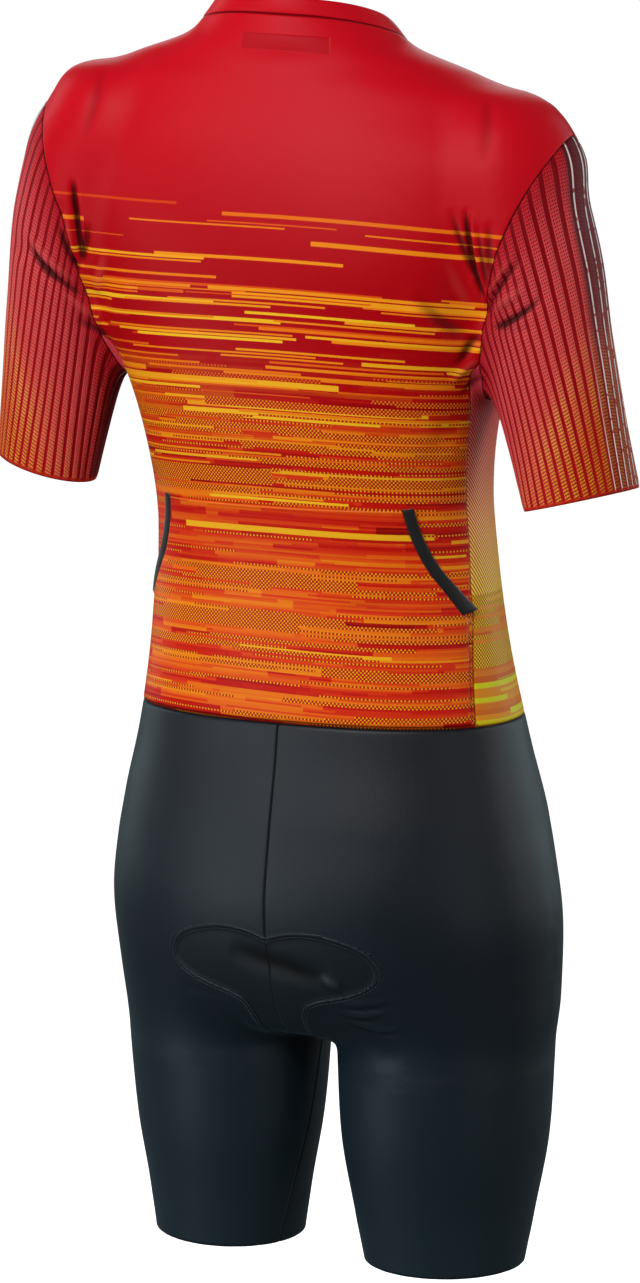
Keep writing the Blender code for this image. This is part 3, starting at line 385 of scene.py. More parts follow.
CREASE_STEPS = 8
CREASE_REACH = 3.0
CREASE_TAPER = 0.6
# the creases' paths, filled the first time a shell asks for its creases
PATHS = []


def crease_paths():
    """Each crease's line, laid on the form."""
    share = np.linspace(0, 1, CREASE_STEPS + 1)[:, None]
    made = []
    for a, b, f in lines_of(CREASES):
        line = a + (b - a) * share - np.array((0, 0, 4 * f["bow"])) * share * (1 - share)
        field = upper_field if a[2] > WAIST_HEIGHT else lower_field
        made.append((settle(field, line), f["depth"], f["width"]))
    return made


def crease_height(p):
    """Height at each point of the soft ridges and troughs of the creases."""
    if not PATHS:
        PATHS.extend(crease_paths())
    height = np.zeros(p.shape[:-1])
    for path, depth, width in PATHS:
        reach = CREASE_REACH * width
        near = np.all((p > path.min(axis=0) - reach) & (p < path.max(axis=0) + reach), axis=-1)
        if not near.any():
            continue
        q = p[near]
        best, share = np.full(len(q), 1.0), np.zeros(len(q))
        for k in range(CREASE_STEPS):
            a, run = path[k], path[k + 1] - path[k]
            t = np.clip((q - a) @ run / run.dot(run), 0, 1)
            off = np.linalg.norm(q - a - t[:, None] * run, axis=-1)
            closer = off < best
            best, share = np.where(closer, off, best), np.where(closer, (k + t) / CREASE_STEPS, share)
        taper = np.sin(pi * np.clip(share, 0.0, 1.0))**CREASE_TAPER
        height[near] += taper * depth * np.exp(-(best / width)**2)
    return height


def upper_field(p):
    arms = join(arm_field(p, 1), arm_field(p, -1), ARMPIT_KEEN)
    return join(trunk_field(p), arms, ARMPIT_BLEND) - fold_height(p)


def lower_field(p):
    hips = cut(trunk_field(p), CROTCH_HEIGHT - p[..., 2], HIP_FLOOR_BLEND)
    legs = join(leg_field(p, 1), leg_field(p, -1), INNER_LEG_BLEND)
    return join(hips, legs, CROTCH_BLEND) - fold_height(p)


def unit(v):
    return v / np.linalg.norm(v, axis=-1, keepdims=True)


SLOPE_STEP = 0.0004


def settle(field, p, rounds=10, largest=0.012):
    """Bring points onto the form."""
    for _ in range(rounds):
        value = field(p)
        slope = np.stack([(field(p + e) - value) / SLOPE_STEP for e in np.eye(3) * SLOPE_STEP], -1)
        move = -value[..., None] * slope / (np.sum(slope**2, -1, keepdims=True) + 1e-9)
        size = np.linalg.norm(move, axis=-1, keepdims=True)
        p = p + move * np.minimum(1, largest / (size + 1e-12))
    return p


def normals(field, p):
    slope = np.stack([field(p + e) - field(p - e) for e in np.eye(3) * 0.0008], -1)
    return unit(slope)


def outward(field, start, direction, reach=0.30, steps=300):
    """Where rays from inside the form leave it."""
    start, direction = np.broadcast_arrays(np.asarray(start, float), np.asarray(direction, float))
    travel = np.linspace(0, reach, steps)
    values = field(start[..., None, :] + travel[:, None] * direction[..., None, :])
    first = np.argmax(values > 0, axis=-1)
    low, high = travel[np.maximum(first - 1, 0)], travel[first]
    for _ in range(24):
        middle = (low + high) / 2
        out = field(start + middle[..., None] * direction) > 0
        low, high = np.where(out, low, middle), np.where(out, middle, high)
    return start + low[..., None] * direction


def stance(p):
    """Turn, tip and shift the shoulders over the hips."""
    weight = np.clip((p[..., 2] - STANCE_FOOT) / (STANCE_TOP - STANCE_FOOT), 0, 1.4)
    angle = radians(SHOULDER_TURN) * np.clip(weight, 0, 1)
    x = p[..., 0] * np.cos(angle) - p[..., 1] * np.sin(angle) + SHOULDER_SHIFT[0] * weight
    y = p[..., 0] * np.sin(angle) + p[..., 1] * np.cos(angle) + SHOULDER_SHIFT[1] * weight
    z = p[..., 2] + SHOULDER_TIP * p[..., 0] * np.clip(weight * TIP_GAIN, 0, 1)
    sway = SHOULDER_SWAY * np.exp(-((p[..., 2] - SWAY_HEIGHT) / SWAY_REACH)**2)
    x += sway * (1 - np.exp(-(p[..., 0] / SWAY_CALM)**2))
    return np.stack([x, y, z], -1)


# ---- lines on the form, as in the part; "parts" splits each coarse step ----
def even(line, count=None, at=None):
    """Points along a line, evenly spaced or at given shares of its length."""
    length = np.concatenate(([0], np.cumsum(np.linalg.norm(np.diff(line, axis=0), axis=-1))))
    share = np.linspace(0, 1, count) if at is None else np.asarray(at)
    return np.stack([np.interp(share * length[-1], length, line[:, i]) for i in range(3)], -1)


def between(line, places):
    """Points of a line, at places counted in its own points."""
    return np.stack([np.interp(places, np.arange(len(line)), line[:, k]) for k in range(3)], -1)


def neck_point(turn, rise=0.0):
    """A point of the neck seam, by its angle in degrees from the centre back."""
    a = np.radians(turn)
    height = NECK_BACK_HEIGHT - NECK_FRONT_DROP * ((1 - np.cos(a)) / 2)**NECK_DROP_LATE + rise
    centre = np.stack([0 * a, 0 * a, height], -1)
    return outward(trunk_field, centre, np.stack([np.sin(a), np.cos(a), 0 * a], -1))


def armhole_point(turn):
    """A point of the wearer's left armhole, by its angle from the shoulder tip to the back."""
    a = np.radians(np.asarray(turn, float))[..., None]
    lean = np.where(np.cos(a) > 0, ARMHOLE_LEAN_ABOVE, ARMHOLE_LEAN_BELOW)
    up = np.concatenate([lean, 0 * lean, 1 + 0 * lean], -1) / np.hypot(1, lean)
    return outward(upper_field, ARMHOLE_CENTRE, np.cos(a) * up + np.sin(a) * np.array((0, 1.0, 0)), 0.18)


def armhole_turns(parts=1):
    back = np.linspace(0, ARMHOLE_BACK_TURN, ARMHOLE_ROWS * parts + 1)
    under = np.linspace(ARMHOLE_BACK_TURN, ARMHOLE_FRONT_TURN, UNDERARM_COLUMNS * parts + 1)
    front = np.linspace(ARMHOLE_FRONT_TURN, 360, ARMHOLE_ROWS * parts + 1)
    return back, under, front


def side_seam_point(height, name):
    depth = np.interp(height, SIDE_SEAM["height"], SIDE_SEAM[name])
    start = np.stack([0 * height, depth, height], -1)
    return outward(trunk_field, start, (1.0, 0, 0))


def side_seam(name, armhole_turn, parts=1):
    """The wearer's left side seam, from the armhole to the waist."""
    top = armhole_point([armhole_turn])
    heights = np.linspace(top[0, 2], WAIST_HEIGHT, 60)[1:]
    line = settle(upper_field, np.concatenate([top, side_seam_point(heights, name)]))
    line[-1, 2] = WAIST_HEIGHT
    return even(line, SIDE_ROWS * parts + 1)


def shoulder_seam(parts=1):
    start = neck_point(np.array([SHOULDER_SEAM_ANGLE]))[0]
    end = armhole_point([0])[0]
    share = np.linspace(0, 1, 30)[:, None]
    line = start + (end - start) * share
    line[1:-1] = settle(upper_field, line[1:-1])
    return even(line, SHOULDER_ROWS * parts + 1)


def outer_edge(turns, seam_name, seam_turn, parts=1):
    """Shoulder seam, armhole and side seam in one line, for the back or a front."""
    side = side_seam(seam_name, seam_turn, parts)
    return np.concatenate([shoulder_seam(parts), armhole_point(turns)[1:], side[1:]])


def row_between(field, middle, edge, columns):
    """A row of points on the form from the centre line out to a panel's edge."""
    u = np.linspace(0, 1, 4 * columns + 1)[:, None]
    guess = middle + (edge - middle) * np.concatenate([u, u**ROW_BOW, u**ROW_DROP], -1)
    dense = settle(field, guess)
    dense[0], dense[-1] = middle, edge
    line = even(dense, columns + 1)
    line[1:-1] = settle(field, line[1:-1], 4)
    return line


def around(grid):
    """The mean of the four neighbours of each inside point."""
    return (grid[:-2, 1:-1] + grid[2:, 1:-1] + grid[1:-1, :-2] + grid[1:-1, 2:]) / 4


def relax(field, grid, rounds=14):
    """Even out the inside of a grid, its edges held, and bring it back onto the form."""
    for _ in range(rounds):
        grid[1:-1, 1:-1] = settle(field, around(grid), 3, 0.006)
    return grid


def centre_line(x, front, top, count):
    heights = np.linspace(top, WAIST_HEIGHT, count)
    start = np.stack([0 * heights + x, 0 * heights + INSIDE_DEPTH, heights], -1)
    return outward(upper_field, start, (0, -1.0 if front else 1.0, 0))


def mirrored(grid):
    return grid * np.array((-1, 1, 1.0))


def split_lines(counts):
    """Places along a coarse grid's lines, each step split into its count of parts."""
    places = [0.0]
    for i, count in enumerate(counts):
        places += list(i + np.arange(1, count + 1) / count)
    return np.array(places)


def fine_grid(field, coarse, row_counts, column_counts, top=None, bottom=None, first=None, last=None,
              rounds=6):
    """A coarse grid, split finely, its edges on the exact lines given and its inside on the form."""
    r, c = split_lines(row_counts), split_lines(column_counts)
    i = np.minimum(r.astype(int), len(coarse) - 2)
    j = np.minimum(c.astype(int), coarse.shape[1] - 2)
    a, b = (r - i)[:, None, None], (c - j)[None, :, None]
    lines = coarse[i] * (1 - a) + coarse[i + 1] * a
    grid = lines[:, j] * (1 - b) + lines[:, j + 1] * b
    if top is not None:
        grid += (top - grid[0])[None] * np.clip(1 - r, 0, 1)[:, None, None]
    if bottom is not None:
        grid += (bottom - grid[-1])[None] * np.clip(1 - r[-1] + r, 0, 1)[:, None, None]
    if first is not None:
        grid += (first - grid[:, 0])[:, None] * np.clip(1 - c, 0, 1)[None, :, None]
    if last is not None:
        grid += (last - grid[:, -1])[:, None] * np.clip(1 - c[-1] + c, 0, 1)[None, :, None]
    exact = grid.copy()
    grid = settle(field, grid, 8, 0.006)

    def hold_edges():
        for line, place in ((top, 0), (bottom, -1)):
            if line is not None:
                grid[place] = exact[place]
        for line, place in ((first, 0), (last, -1)):
            if line is not None:
                grid[:, place] = exact[:, place]

    hold_edges()
    for _ in range(rounds):
        grid[1:-1, 1:-1] = around(grid)
    grid[1:-1, 1:-1] = settle(field, grid[1:-1, 1:-1], 4, 0.006)
    return grid


OUTER_COUNTS = [ROW_PARTS] * (SHOULDER_ROWS + ARMHOLE_ROWS + SIDE_ROWS)
HALF_COUNTS = [6, 6, 6, 7, 8, 10, 16, 18]
HALF_KNOTS = np.concatenate(([0], np.cumsum(HALF_COUNTS)))
HALF_SHARES = split_lines(HALF_COUNTS) / NECK_HALF_COLUMNS


def waist_line(line):
    """Points of a waist edge, taken out to the form at exactly the waist's height."""
    hub = np.array((0, -0.03, WAIST_HEIGHT))
    ray = line - hub
    ray[..., 2] = 0
    return outward(upper_field, hub, unit(ray))


def in_waist(coarse_row, counts):
    """A panel's waist edge: its coarse row, split finely."""
    return waist_line(between(coarse_row, split_lines(counts)))


def back_half():
    edge = outer_edge(armhole_turns()[0], "back", ARMHOLE_BACK_TURN)
    middle = centre_line(0, False, NECK_BACK_HEIGHT, len(edge))
    half = [neck_point(np.linspace(0, SHOULDER_SEAM_ANGLE, NECK_HALF_COLUMNS + 1))]
    half += [row_between(upper_field, m, e, NECK_HALF_COLUMNS) for m, e in zip(middle[1:], edge[1:])]
    coarse = relax(upper_field, np.array(half))
    edge = outer_edge(armhole_turns(ROW_PARTS)[0], "back", ARMHOLE_BACK_TURN, ROW_PARTS)
    middle = centre_line(0, False, NECK_BACK_HEIGHT, len(edge))
    neck = neck_point(SHOULDER_SEAM_ANGLE * HALF_SHARES)
    bottom = in_waist(coarse[-1], HALF_COUNTS)
    bottom[0], bottom[-1] = middle[-1], edge[-1]
    return fine_grid(upper_field, coarse, OUTER_COUNTS, HALF_COUNTS, neck, bottom, middle, edge)


def front_half():
    edge = outer_edge(armhole_turns()[2][::-1], "front", ARMHOLE_FRONT_TURN)
    neck = neck_point(np.linspace(180, SHOULDER_SEAM_ANGLE, NECK_HALF_COLUMNS + 1))
    middle = centre_line(ZIP_HALF_WIDTH, True, neck[0, 2], len(edge))
    neck[0] = middle[0]
    grid = [neck]
    grid += [row_between(upper_field, m, e, NECK_HALF_COLUMNS) for m, e in zip(middle[1:], edge[1:])]
    coarse = relax(upper_field, np.array(grid))
    edge = outer_edge(armhole_turns(ROW_PARTS)[2][::-1], "front", ARMHOLE_FRONT_TURN, ROW_PARTS)
    neck = neck_point(180 + (SHOULDER_SEAM_ANGLE - 180) * HALF_SHARES)
    middle = centre_line(ZIP_HALF_WIDTH, True, neck[0, 2], len(edge))
    neck[0] = middle[0]
    for k in range(1, len(neck)):
        if neck[k, 0] < ZIP_HALF_WIDTH + k * 0.3 * MM:
            start = (ZIP_HALF_WIDTH + k * 0.3 * MM, -0.01, neck[k, 2])
            neck[k] = outward(trunk_field, start, (0, -1.0, 0))
    bottom = in_waist(coarse[-1], HALF_COUNTS)
    bottom[0], bottom[-1] = middle[-1], edge[-1]
    return fine_grid(upper_field, coarse, OUTER_COUNTS, HALF_COUNTS, neck, bottom, middle, edge)


def side_panel():
    """The wearer's left side panel: rows from the armhole to the waist, back to front."""
    back = side_seam("back", ARMHOLE_BACK_TURN)
    front = side_seam("front", ARMHOLE_FRONT_TURN)
    top = armhole_point(armhole_turns()[1])
    share = np.linspace(0, 1, UNDERARM_COLUMNS + 1)
    dip = top[:, 2] - (top[0, 2] + (top[-1, 2] - top[0, 2]) * share)
    grid = [top]
    for i in range(1, SIDE_ROWS + 1):
        line = back[i] + (front[i] - back[i]) * share[:, None]
        line[:, 0] += SIDE_BOW * np.sin(pi * share)
        line[:, 2] += dip * (1 - i / SIDE_ROWS)
        line[1:-1] = settle(upper_field, line[1:-1])
        grid.append(line)
    coarse = np.array(grid)
    coarse[-1, :, 2] = WAIST_HEIGHT
    column_counts = [COLUMN_PARTS] * UNDERARM_COLUMNS
    top = armhole_point(armhole_turns(COLUMN_PARTS)[1])
    back = side_seam("back", ARMHOLE_BACK_TURN, ROW_PARTS)
    front = side_seam("front", ARMHOLE_FRONT_TURN, ROW_PARTS)
    bottom = in_waist(coarse[-1], column_counts)
    bottom[0], bottom[-1] = back[-1], front[-1]
    row_counts = [ROW_PARTS] * SIDE_ROWS
    return fine_grid(upper_field, coarse, row_counts, column_counts, top, bottom, back, front)


def sleeve():
    """Rings from the armhole to the hem; columns run round from the top by the back."""
    back, under, front = armhole_turns()
    turns = np.concatenate([back, under[1:], front[1:]])
    knots = armhole_point(turns)
    knots[-1] = knots[0]
    along, side, depth = limb_axes(SHOULDER_JOINT, SLEEVE_END)
    length = np.linalg.norm(SLEEVE_END - SHOULDER_JOINT)
    hem_turn = np.radians(turns)
    hem_turn = hem_turn + (np.linspace(0, 2 * pi, len(knots)) - hem_turn) * EVEN_HEM_SHARE
    d = knots - SHOULDER_JOINT
    first_turn = np.unwrap(np.arctan2(d @ depth, d @ side))
    first_turn -= 2 * pi * round(first_turn[0] / (2 * pi))
    start = d @ along
    grid = [knots]
    for share in np.linspace(0, 1, SLEEVE_ROWS + 1)[1:]:
        turn = first_turn + (hem_turn - first_turn) * share
        t = start + (length - start) * share
        centre = SHOULDER_JOINT + t[:, None] * along
        ray = np.cos(turn)[:, None] * side + np.sin(turn)[:, None] * depth
        guess = outward(lambda p: arm_field(p, 1), centre, ray, 0.09, 120)
        grid.append(settle(upper_field, guess, 6))
    coarse = np.array(grid)
    coarse[:, -1] = coarse[:, 0]
    counts = [RIBS_TO_KNOT * COLUMNS_TO_RIB] * (len(knots) - 1)
    fine_turns = np.interp(split_lines(counts), np.arange(len(turns)), turns)
    top = armhole_point(fine_turns)
    top[-1] = top[0]
    fine = fine_grid(upper_field, coarse, [SLEEVE_ROW_PARTS] * SLEEVE_ROWS, counts, top, rounds=0)
    # the tube closes: its last column lies on its first
    fine[:, -1] = fine[:, 0]
    return fine


def collar_half():
    """The wearer's left half of the collar band, front to back: seam row to top row."""
    count = NECK_HALF_COLUMNS * COLUMN_PARTS
    front = np.linspace(180, SHOULDER_SEAM_ANGLE, count + 1)
    back = np.linspace(SHOULDER_SEAM_ANGLE, 0, count + 1)[1:]
    turns = np.concatenate([front, back])
    grid = []
    for share in np.linspace(0, 1, 9):
        line = neck_point(turns, COLLAR_HEIGHT * share)
        near = line[:, 0] < ZIP_HALF_WIDTH
        near[count:] = False
        line = line[~near]
        front_point = outward(trunk_field, (ZIP_HALF_WIDTH, -0.01, line[0, 2]), (0, -1.0, 0))
        line = np.concatenate([front_point[None], line])
        grid.append(even(line, 2 * count + 1))
        grid[-1][-1, 0] = 0
    return np.array(grid)


def midline_point(turn):
    """A point of the shorts' centre seam, by its angle from straight back, down and forward."""
    a = np.radians(turn)
    hub = np.array((0, HIP_JOINT[1], HIP_JOINT[2] + HUB_RISE))
    ray = np.stack([0 * a, np.cos(a), -np.sin(a)], -1)
    return outward(lower_field, hub, ray)


def shorts_grid(shares):
    """The wearer's left half: rows from the waist to the hem, columns from the back seam
    round the outside to the front seam, and from inseam to inseam on the leg."""
    hub_height = HIP_JOINT[2] + HUB_RISE
    heights = np.linspace(WAIST_HEIGHT, hub_height, SEAT_ROWS + 1)
    back, front = ([outward(upper_field if i == 0 else lower_field, (0, INSIDE_DEPTH, h), (0, way, 0))
                    for i, h in enumerate(heights)] for way in (1.0, -1.0))
    outside = list(heights)
    centre_x = [0.0] * len(heights)
    for i in range(1, CROTCH_ROWS + 1):
        share = i / CROTCH_ROWS
        back.append(midline_point(90 * share))
        front.append(midline_point(180 - 90 * share))
        outside.append(back[-1][2] - CROTCH_TO_THIGH * share)
        centre_x.append(HIP_JOINT[0] * min(1, AXIS_SHIFT * share))
    crotch_outside = outside[-1]
    crotch_inside = back[-1][2]
    for i in range(1, LEG_ROWS + 1):
        share = i / LEG_ROWS
        height = crotch_outside + (LEG_HEM_HEIGHT - crotch_outside) * share
        inside = crotch_inside + (LEG_HEM_HEIGHT - crotch_inside) * share
        start = (HIP_JOINT[0], HIP_JOINT[1], inside)
        hit = outward(lower_field, start, (-1.0, INSEAM_BACK * share, 0), 0.2)
        back.append(hit)
        front.append(hit)
        outside.append(height)
        centre_x.append(HIP_JOINT[0])
    grid = []
    for b, f, height, x in zip(back, front, outside, centre_x):
        centre = np.array((x, HIP_JOINT[1], 0))
        start = np.arctan2(b[1] - centre[1], b[0] - centre[0])
        end = np.arctan2(f[1] - centre[1], f[0] - centre[0])
        start = pi if x and abs(start) > pi - 1e-6 else start
        end = end - 2 * pi if end > 0 else end
        u = np.linspace(0, 1, 121)
        turn = start + (end - start) * u
        near = np.clip(1 - np.minimum(u, 1 - u) / DIP_SHARE, 0, 1)**2
        rise = height + (b[2] - height) * near
        ray = np.stack([np.cos(turn), np.sin(turn), 0 * turn], -1)
        origin = np.stack([0 * u + centre[0], 0 * u + centre[1], rise], -1)
        field = upper_field if height == WAIST_HEIGHT else lower_field
        dense = outward(field, origin, ray, 0.26, 260)
        dense[0], dense[-1] = b, f
        line = even(dense, at=shares)
        line[1:-1] = settle(field, line[1:-1], 3, 0.004) if height != WAIST_HEIGHT else line[1:-1]
        grid.append(line)
    return np.array(grid)


def both_sides(grid, field, side):
    """A grid of the wearer's left, brought to the right side's own form where side is -1."""
    if side > 0:
        return grid
    return settle(field, mirrored(grid), 3, 0.005)


# ---- measures that the materials read ----
def lengths(grid, axis):
    """How far each point lies along its row (axis 1) or column (axis 0)."""
    step = np.linalg.norm(np.diff(grid, axis=axis), axis=-1)
    zero = np.zeros_like(np.take(step, [0], axis=axis))
    return np.concatenate([zero, np.cumsum(step, axis=axis)], axis=axis)


def edge_distances(grid, edges):
    """Distance to the nearest of the named edges: top, bottom, first or last."""
    down, across = lengths(grid, 0), lengths(grid, 1)
    far = {"top": down, "bottom": down[-1:] - down, "first": across, "last": across[:, -1:] - across}
    return np.min([far[name] for name in edges], axis=0) if edges else np.full(grid.shape[:2], 1.0)


def girth_table():
    """Arc length round the trunk from the centre back, by height and direction."""
    heights = np.linspace(-0.52, 0.03, 56)
    turns = np.linspace(0, pi, 91)
    half_width, front, widest, back, fullness = (values[:, None] for values in trunk_at(heights))
    depth = np.where(turns < pi / 2, back - widest, widest - front)
    reach = np.abs(np.sin(turns) / half_width)**fullness + np.abs(np.cos(turns) / depth)**fullness
    reach = reach**(-1 / fullness)
    x, y = reach * np.sin(turns), reach * np.cos(turns)
    step = np.hypot(np.diff(x, axis=1), np.diff(y, axis=1))
    return heights, turns, np.concatenate([np.zeros((len(heights), 1)), np.cumsum(step, axis=1)], axis=1)


GIRTH = girth_table()


def round_trunk(p):
    """Signed distance round the trunk from the centre back, in metres."""
    heights, turns, arc = GIRTH
    widest = column(TRUNK, "height", p[..., 2], "widest")
    turn = np.arctan2(np.abs(p[..., 0]), p[..., 1] - widest)
    i = np.clip((p[..., 2] - heights[0]) / (heights[1] - heights[0]), 0, len(heights) - 1.001)
    j = np.clip(turn / (turns[1] - turns[0]), 0, len(turns) - 1.001)
    a, b = i.astype(int), j.astype(int)
    s, t = i - a, j - b
    value = (arc[a, b] * (1 - s) * (1 - t) + arc[a + 1, b] * s * (1 - t)
             + arc[a, b + 1] * (1 - s) * t + arc[a + 1, b + 1] * s * t)
    return value * np.where(p[..., 0] < 0, -1, 1)


# ---- meshes ----
def add_mesh(name, verts, faces, finishes):
    mesh = bpy.data.meshes.new(name)
    mesh.from_pydata([tuple(v) for v in verts], [], [tuple(f) for f in faces])
    mesh.shade_smooth()
    for finish in finishes:
        mesh.materials.append(finish)
    thing = bpy.data.objects.new(name, mesh)
    bpy.context.scene.collection.objects.link(thing)
    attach(thing, "suit")
    return thing


def write_corners(mesh, name, values):
    """values holds a vector for each corner of each face, in order."""
    made = mesh.attributes.new(name, "FLOAT_VECTOR", "CORNER")
    made.data.foreach_set("vector", np.asarray(values, np.float32).ravel())


def shell(name, node, grid, field, finishes, wall, place, edge, height=0.0, ring=False):
    """A thin cloth shell on a grid of the upright form, in place of its solid."""
    out = normals(field, grid)
    groove = 0.35 * MM * np.exp(-(edge[..., 0] / (1.3 * MM))**2)
    crease = crease_height(grid)
    raised = crease - groove + height
    # the crease heights also go out as an attribute, from which the materials paint shade in the troughs and
    # highlight on the ridges
    crease = np.stack([crease, 0 * crease, 0 * crease], -1)
    points = stance(grid + out * raised[..., None])
    r, c = grid.shape[:2]
    columns = c - 1 if ring else c
    verts = points[:, :columns].reshape(-1, 3)
    i, j = np.meshgrid(np.arange(r - 1), np.arange(c - 1), indexing="ij")
    ring_of = [(i, j), (i, j + 1), (i + 1, j + 1), (i + 1, j)]
    a, b, d = points[0, 0], points[0, 1], points[1, 0]
    facing = np.cross(b - a, d - a) @ (points[1, 1] - stance(grid[1:2, 1:2] - out[1:2, 1:2] * MM)[0, 0])
    corners = ring_of if facing > 0 else [ring_of[0], *ring_of[:0:-1]]
    faces = np.stack([down * columns + along % columns for down, along in corners], -1).reshape(-1, 4)
    thing = add_mesh(name, verts, faces, finishes)
    for attribute, values in (("place", place), ("edge", edge), ("crease", crease)):
        write_corners(thing.data, attribute, np.stack([values[corner] for corner in corners], -2))
    thick = thing.modifiers.new("wall", "SOLIDIFY")
    thick.thickness = wall
    thick.offset = -1
    thick.material_offset = 1 if len(finishes) > 1 else 0
    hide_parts(node)
    return thing


BAR_SIDES = 6
# a bar's rings, from end to end: place along its length, and share of its radius
BAR_RINGS = [(-0.5, 0.45), (-0.32, 1.0), (0.32, 1.0), (0.5, 0.45)]


def bars(name, centres, runs, outs, length, radius, finish, slot_name):
    """Small round-ended bars, each on its own centre: stitches and zip teeth."""
    runs = unit(runs)
    across = unit(np.cross(outs, runs))
    outs = np.cross(runs, across)
    turn = np.arange(BAR_SIDES) * 2 * pi / BAR_SIDES
    local = np.array([(s * length, radius * w * cos(t), radius * w * sin(t))
                      for s, w in BAR_RINGS for t in turn])
    verts = (centres[:, None] + local[None, :, :1] * runs[:, None] + local[None, :, 1:2] * across[:, None]
             + local[None, :, 2:] * outs[:, None])
    quads = []
    for k in range(len(BAR_RINGS) - 1):
        low, high = k * BAR_SIDES, (k + 1) * BAR_SIDES
        for q in range(BAR_SIDES):
            p = (q + 1) % BAR_SIDES
            quads.append((low + q, low + p, high + p, high + q))
    caps = [tuple(reversed(range(BAR_SIDES))), tuple(range(len(local) - BAR_SIDES, len(local)))]
    first = (np.arange(len(centres)) * len(local))[:, None, None]
    faces = [*(np.array(quads) + first).reshape(-1, 4), *(np.array(caps) + first).reshape(-1, BAR_SIDES)]
    add_mesh(name, verts.reshape(-1, 3), faces, [finish])


def stitches(name, lines, pitch, length, radius, finish, lift=0.0):
    """Rows of stitches along lines on the shorts' upright form."""
    centres, runs, outs = [], [], []
    for line in lines:
        total = np.linalg.norm(np.diff(line, axis=0), axis=-1).sum()
        count = max(2, int(total / pitch))
        at = even(line, count)
        run = np.gradient(at, axis=0)
        out = normals(lower_field, at)
        at = at + out * (crease_height(at) + lift)[:, None]
        posed = stance(at)
        centres.append(posed)
        runs.append(stance(at + run * 0.1) - posed)
        outs.append(stance(at + out * MM) - posed)
    bars(name, *map(np.concatenate, (centres, runs, outs)), length, radius, finish, "shorts_cloth")


# ---- materials ----
def srgb(red, green, blue):
    """A linear colour from one in steps of 0 to 255."""
    return tuple(((c / 255 + 0.055) / 1.055)**2.4 if c > 10 else c / 255 / 12.92
                 for c in (red, green, blue))


class Finish:
    """One material, with short ways to add and join nodes."""

    def __init__(self, name, roughness=0.5, metallic=0.0, sheen=0.0, sheen_tint=(1, 1, 1), specular=0.5,
                 sheen_roughness=0.4):
        self.material = bpy.data.materials.new(name)
        self.material.use_nodes = True
        self.tree = self.material.node_tree
        self.shader = self.tree.nodes["Principled BSDF"]
        for socket, value in (("Roughness", roughness), ("Metallic", metallic), ("Sheen Weight", sheen),
                              ("Sheen Roughness", sheen_roughness), ("Specular IOR Level", specular)):
            self.shader.inputs[socket].default_value = value
        self.shader.inputs["Sheen Tint"].default_value = (*sheen_tint, 1)

    def feed(self, socket, value):
        if isinstance(value, bpy.types.NodeSocket):
            self.tree.links.new(value, socket)
        elif hasattr(socket.default_value, "__len__") and hasattr(value, "__len__"):
            size = len(socket.default_value)
            socket.default_value = (*value, 1)[:size] if len(value) < size else value
        else:
            socket.default_value = value

    def node(self, kind, inputs, **settings):
        made = self.tree.nodes.new(kind)
        for name, value in settings.items():
            setattr(made, name, value)
        for key, value in inputs.items():
            self.feed(made.inputs[key], value)
        return made

    def calc(self, operation, *values):
        return self.node("ShaderNodeMath", dict(enumerate(values)), operation=operation).outputs[0]

    def add(self, a, b):
        return self.calc("ADD", a, b)

    def times(self, a, b):
        return self.calc("MULTIPLY", a, b)

    def off(self, value, middle):
        """How far a value is from a middle, either way."""
        return self.calc("ABSOLUTE", self.add(value, -middle))

    def step(self, value, low, high):
        """0 below low, 1 above high, soft between; the other way round where low is above high."""
        inputs = {0: value, 1: low, 2: high}
        return self.node("ShaderNodeMapRange", inputs, interpolation_type="SMOOTHSTEP").outputs[0]

    def parts(self, name):
        vector = self.node("ShaderNodeAttribute", {}, attribute_name=name).outputs["Vector"]
        return self.node("ShaderNodeSeparateXYZ", {0: vector}).outputs[:3]

    def vector(self, x, y, z=0.0):
        return self.node("ShaderNodeCombineXYZ", {0: x, 1: y, 2: z}).outputs[0]

    def noise(self, at, scale, detail=2.0, rough=0.5):
        inputs = {"Vector": at, "Scale": scale, "Detail": detail, "Roughness": rough}
        return self.node("ShaderNodeTexNoise", inputs).outputs["Fac"]

    def cloud(self, u, v, across, up, detail=2.0, rough=0.5):
        """Noise over a surface, so many times finer across and up."""
        return self.noise(self.vector(self.times(u, across), self.times(v, up)), 1.0, detail, rough)

    def chance(self, x, y, seed):
        """Three random numbers for each whole (x, y)."""
        at = self.vector(x, y, seed)
        made = self.node("ShaderNodeTexWhiteNoise", {"Vector": at}, noise_dimensions="3D")
        return self.node("ShaderNodeSeparateColor", {0: made.outputs["Color"]}).outputs[:3]

    def mix(self, share, a, b):
        return self.node("ShaderNodeMix", {0: share, 6: a, 7: b}, data_type="RGBA").outputs[2]

    def shade(self, value, *stops):
        """A colour for each value, from (value, colour) stops."""
        made = self.tree.nodes.new("ShaderNodeValToRGB")
        low, high = stops[0][0], stops[-1][0]
        ramp = made.color_ramp
        for k, (at, colour) in enumerate(stops):
            place = (at - low) / (high - low)
            stop = ramp.elements[k] if k < 2 else ramp.elements.new(place)
            stop.position = place
            stop.color = (*colour, 1)
        self.feed(made.inputs[0], self.node("ShaderNodeMapRange", {0: value, 1: low, 2: high}).outputs[0])
        return made.outputs[0]

    def curve(self, value, *stops):
        """A number for each value, straight between (value, number) stops, in rising order."""
        made = self.shade(value, *[(at, (number, number, number)) for at, number in stops])
        return self.node("ShaderNodeSeparateColor", {0: made}).outputs[0]

    def bump(self, *layers):
        """Layers of (height in metres, as a socket); each adds to the last."""
        normal = None
        for height in layers:
            inputs = {"Strength": 1.0, "Distance": 1.0, "Height": height}
            if normal is not None:
                inputs["Normal"] = normal
            normal = self.node("ShaderNodeBump", inputs).outputs[0]
        self.tree.links.new(normal, self.shader.inputs["Normal"])

    def colour(self, value):
        self.feed(self.shader.inputs["Base Color"], value)

    def roughness(self, value):
        self.feed(self.shader.inputs["Roughness"], value)


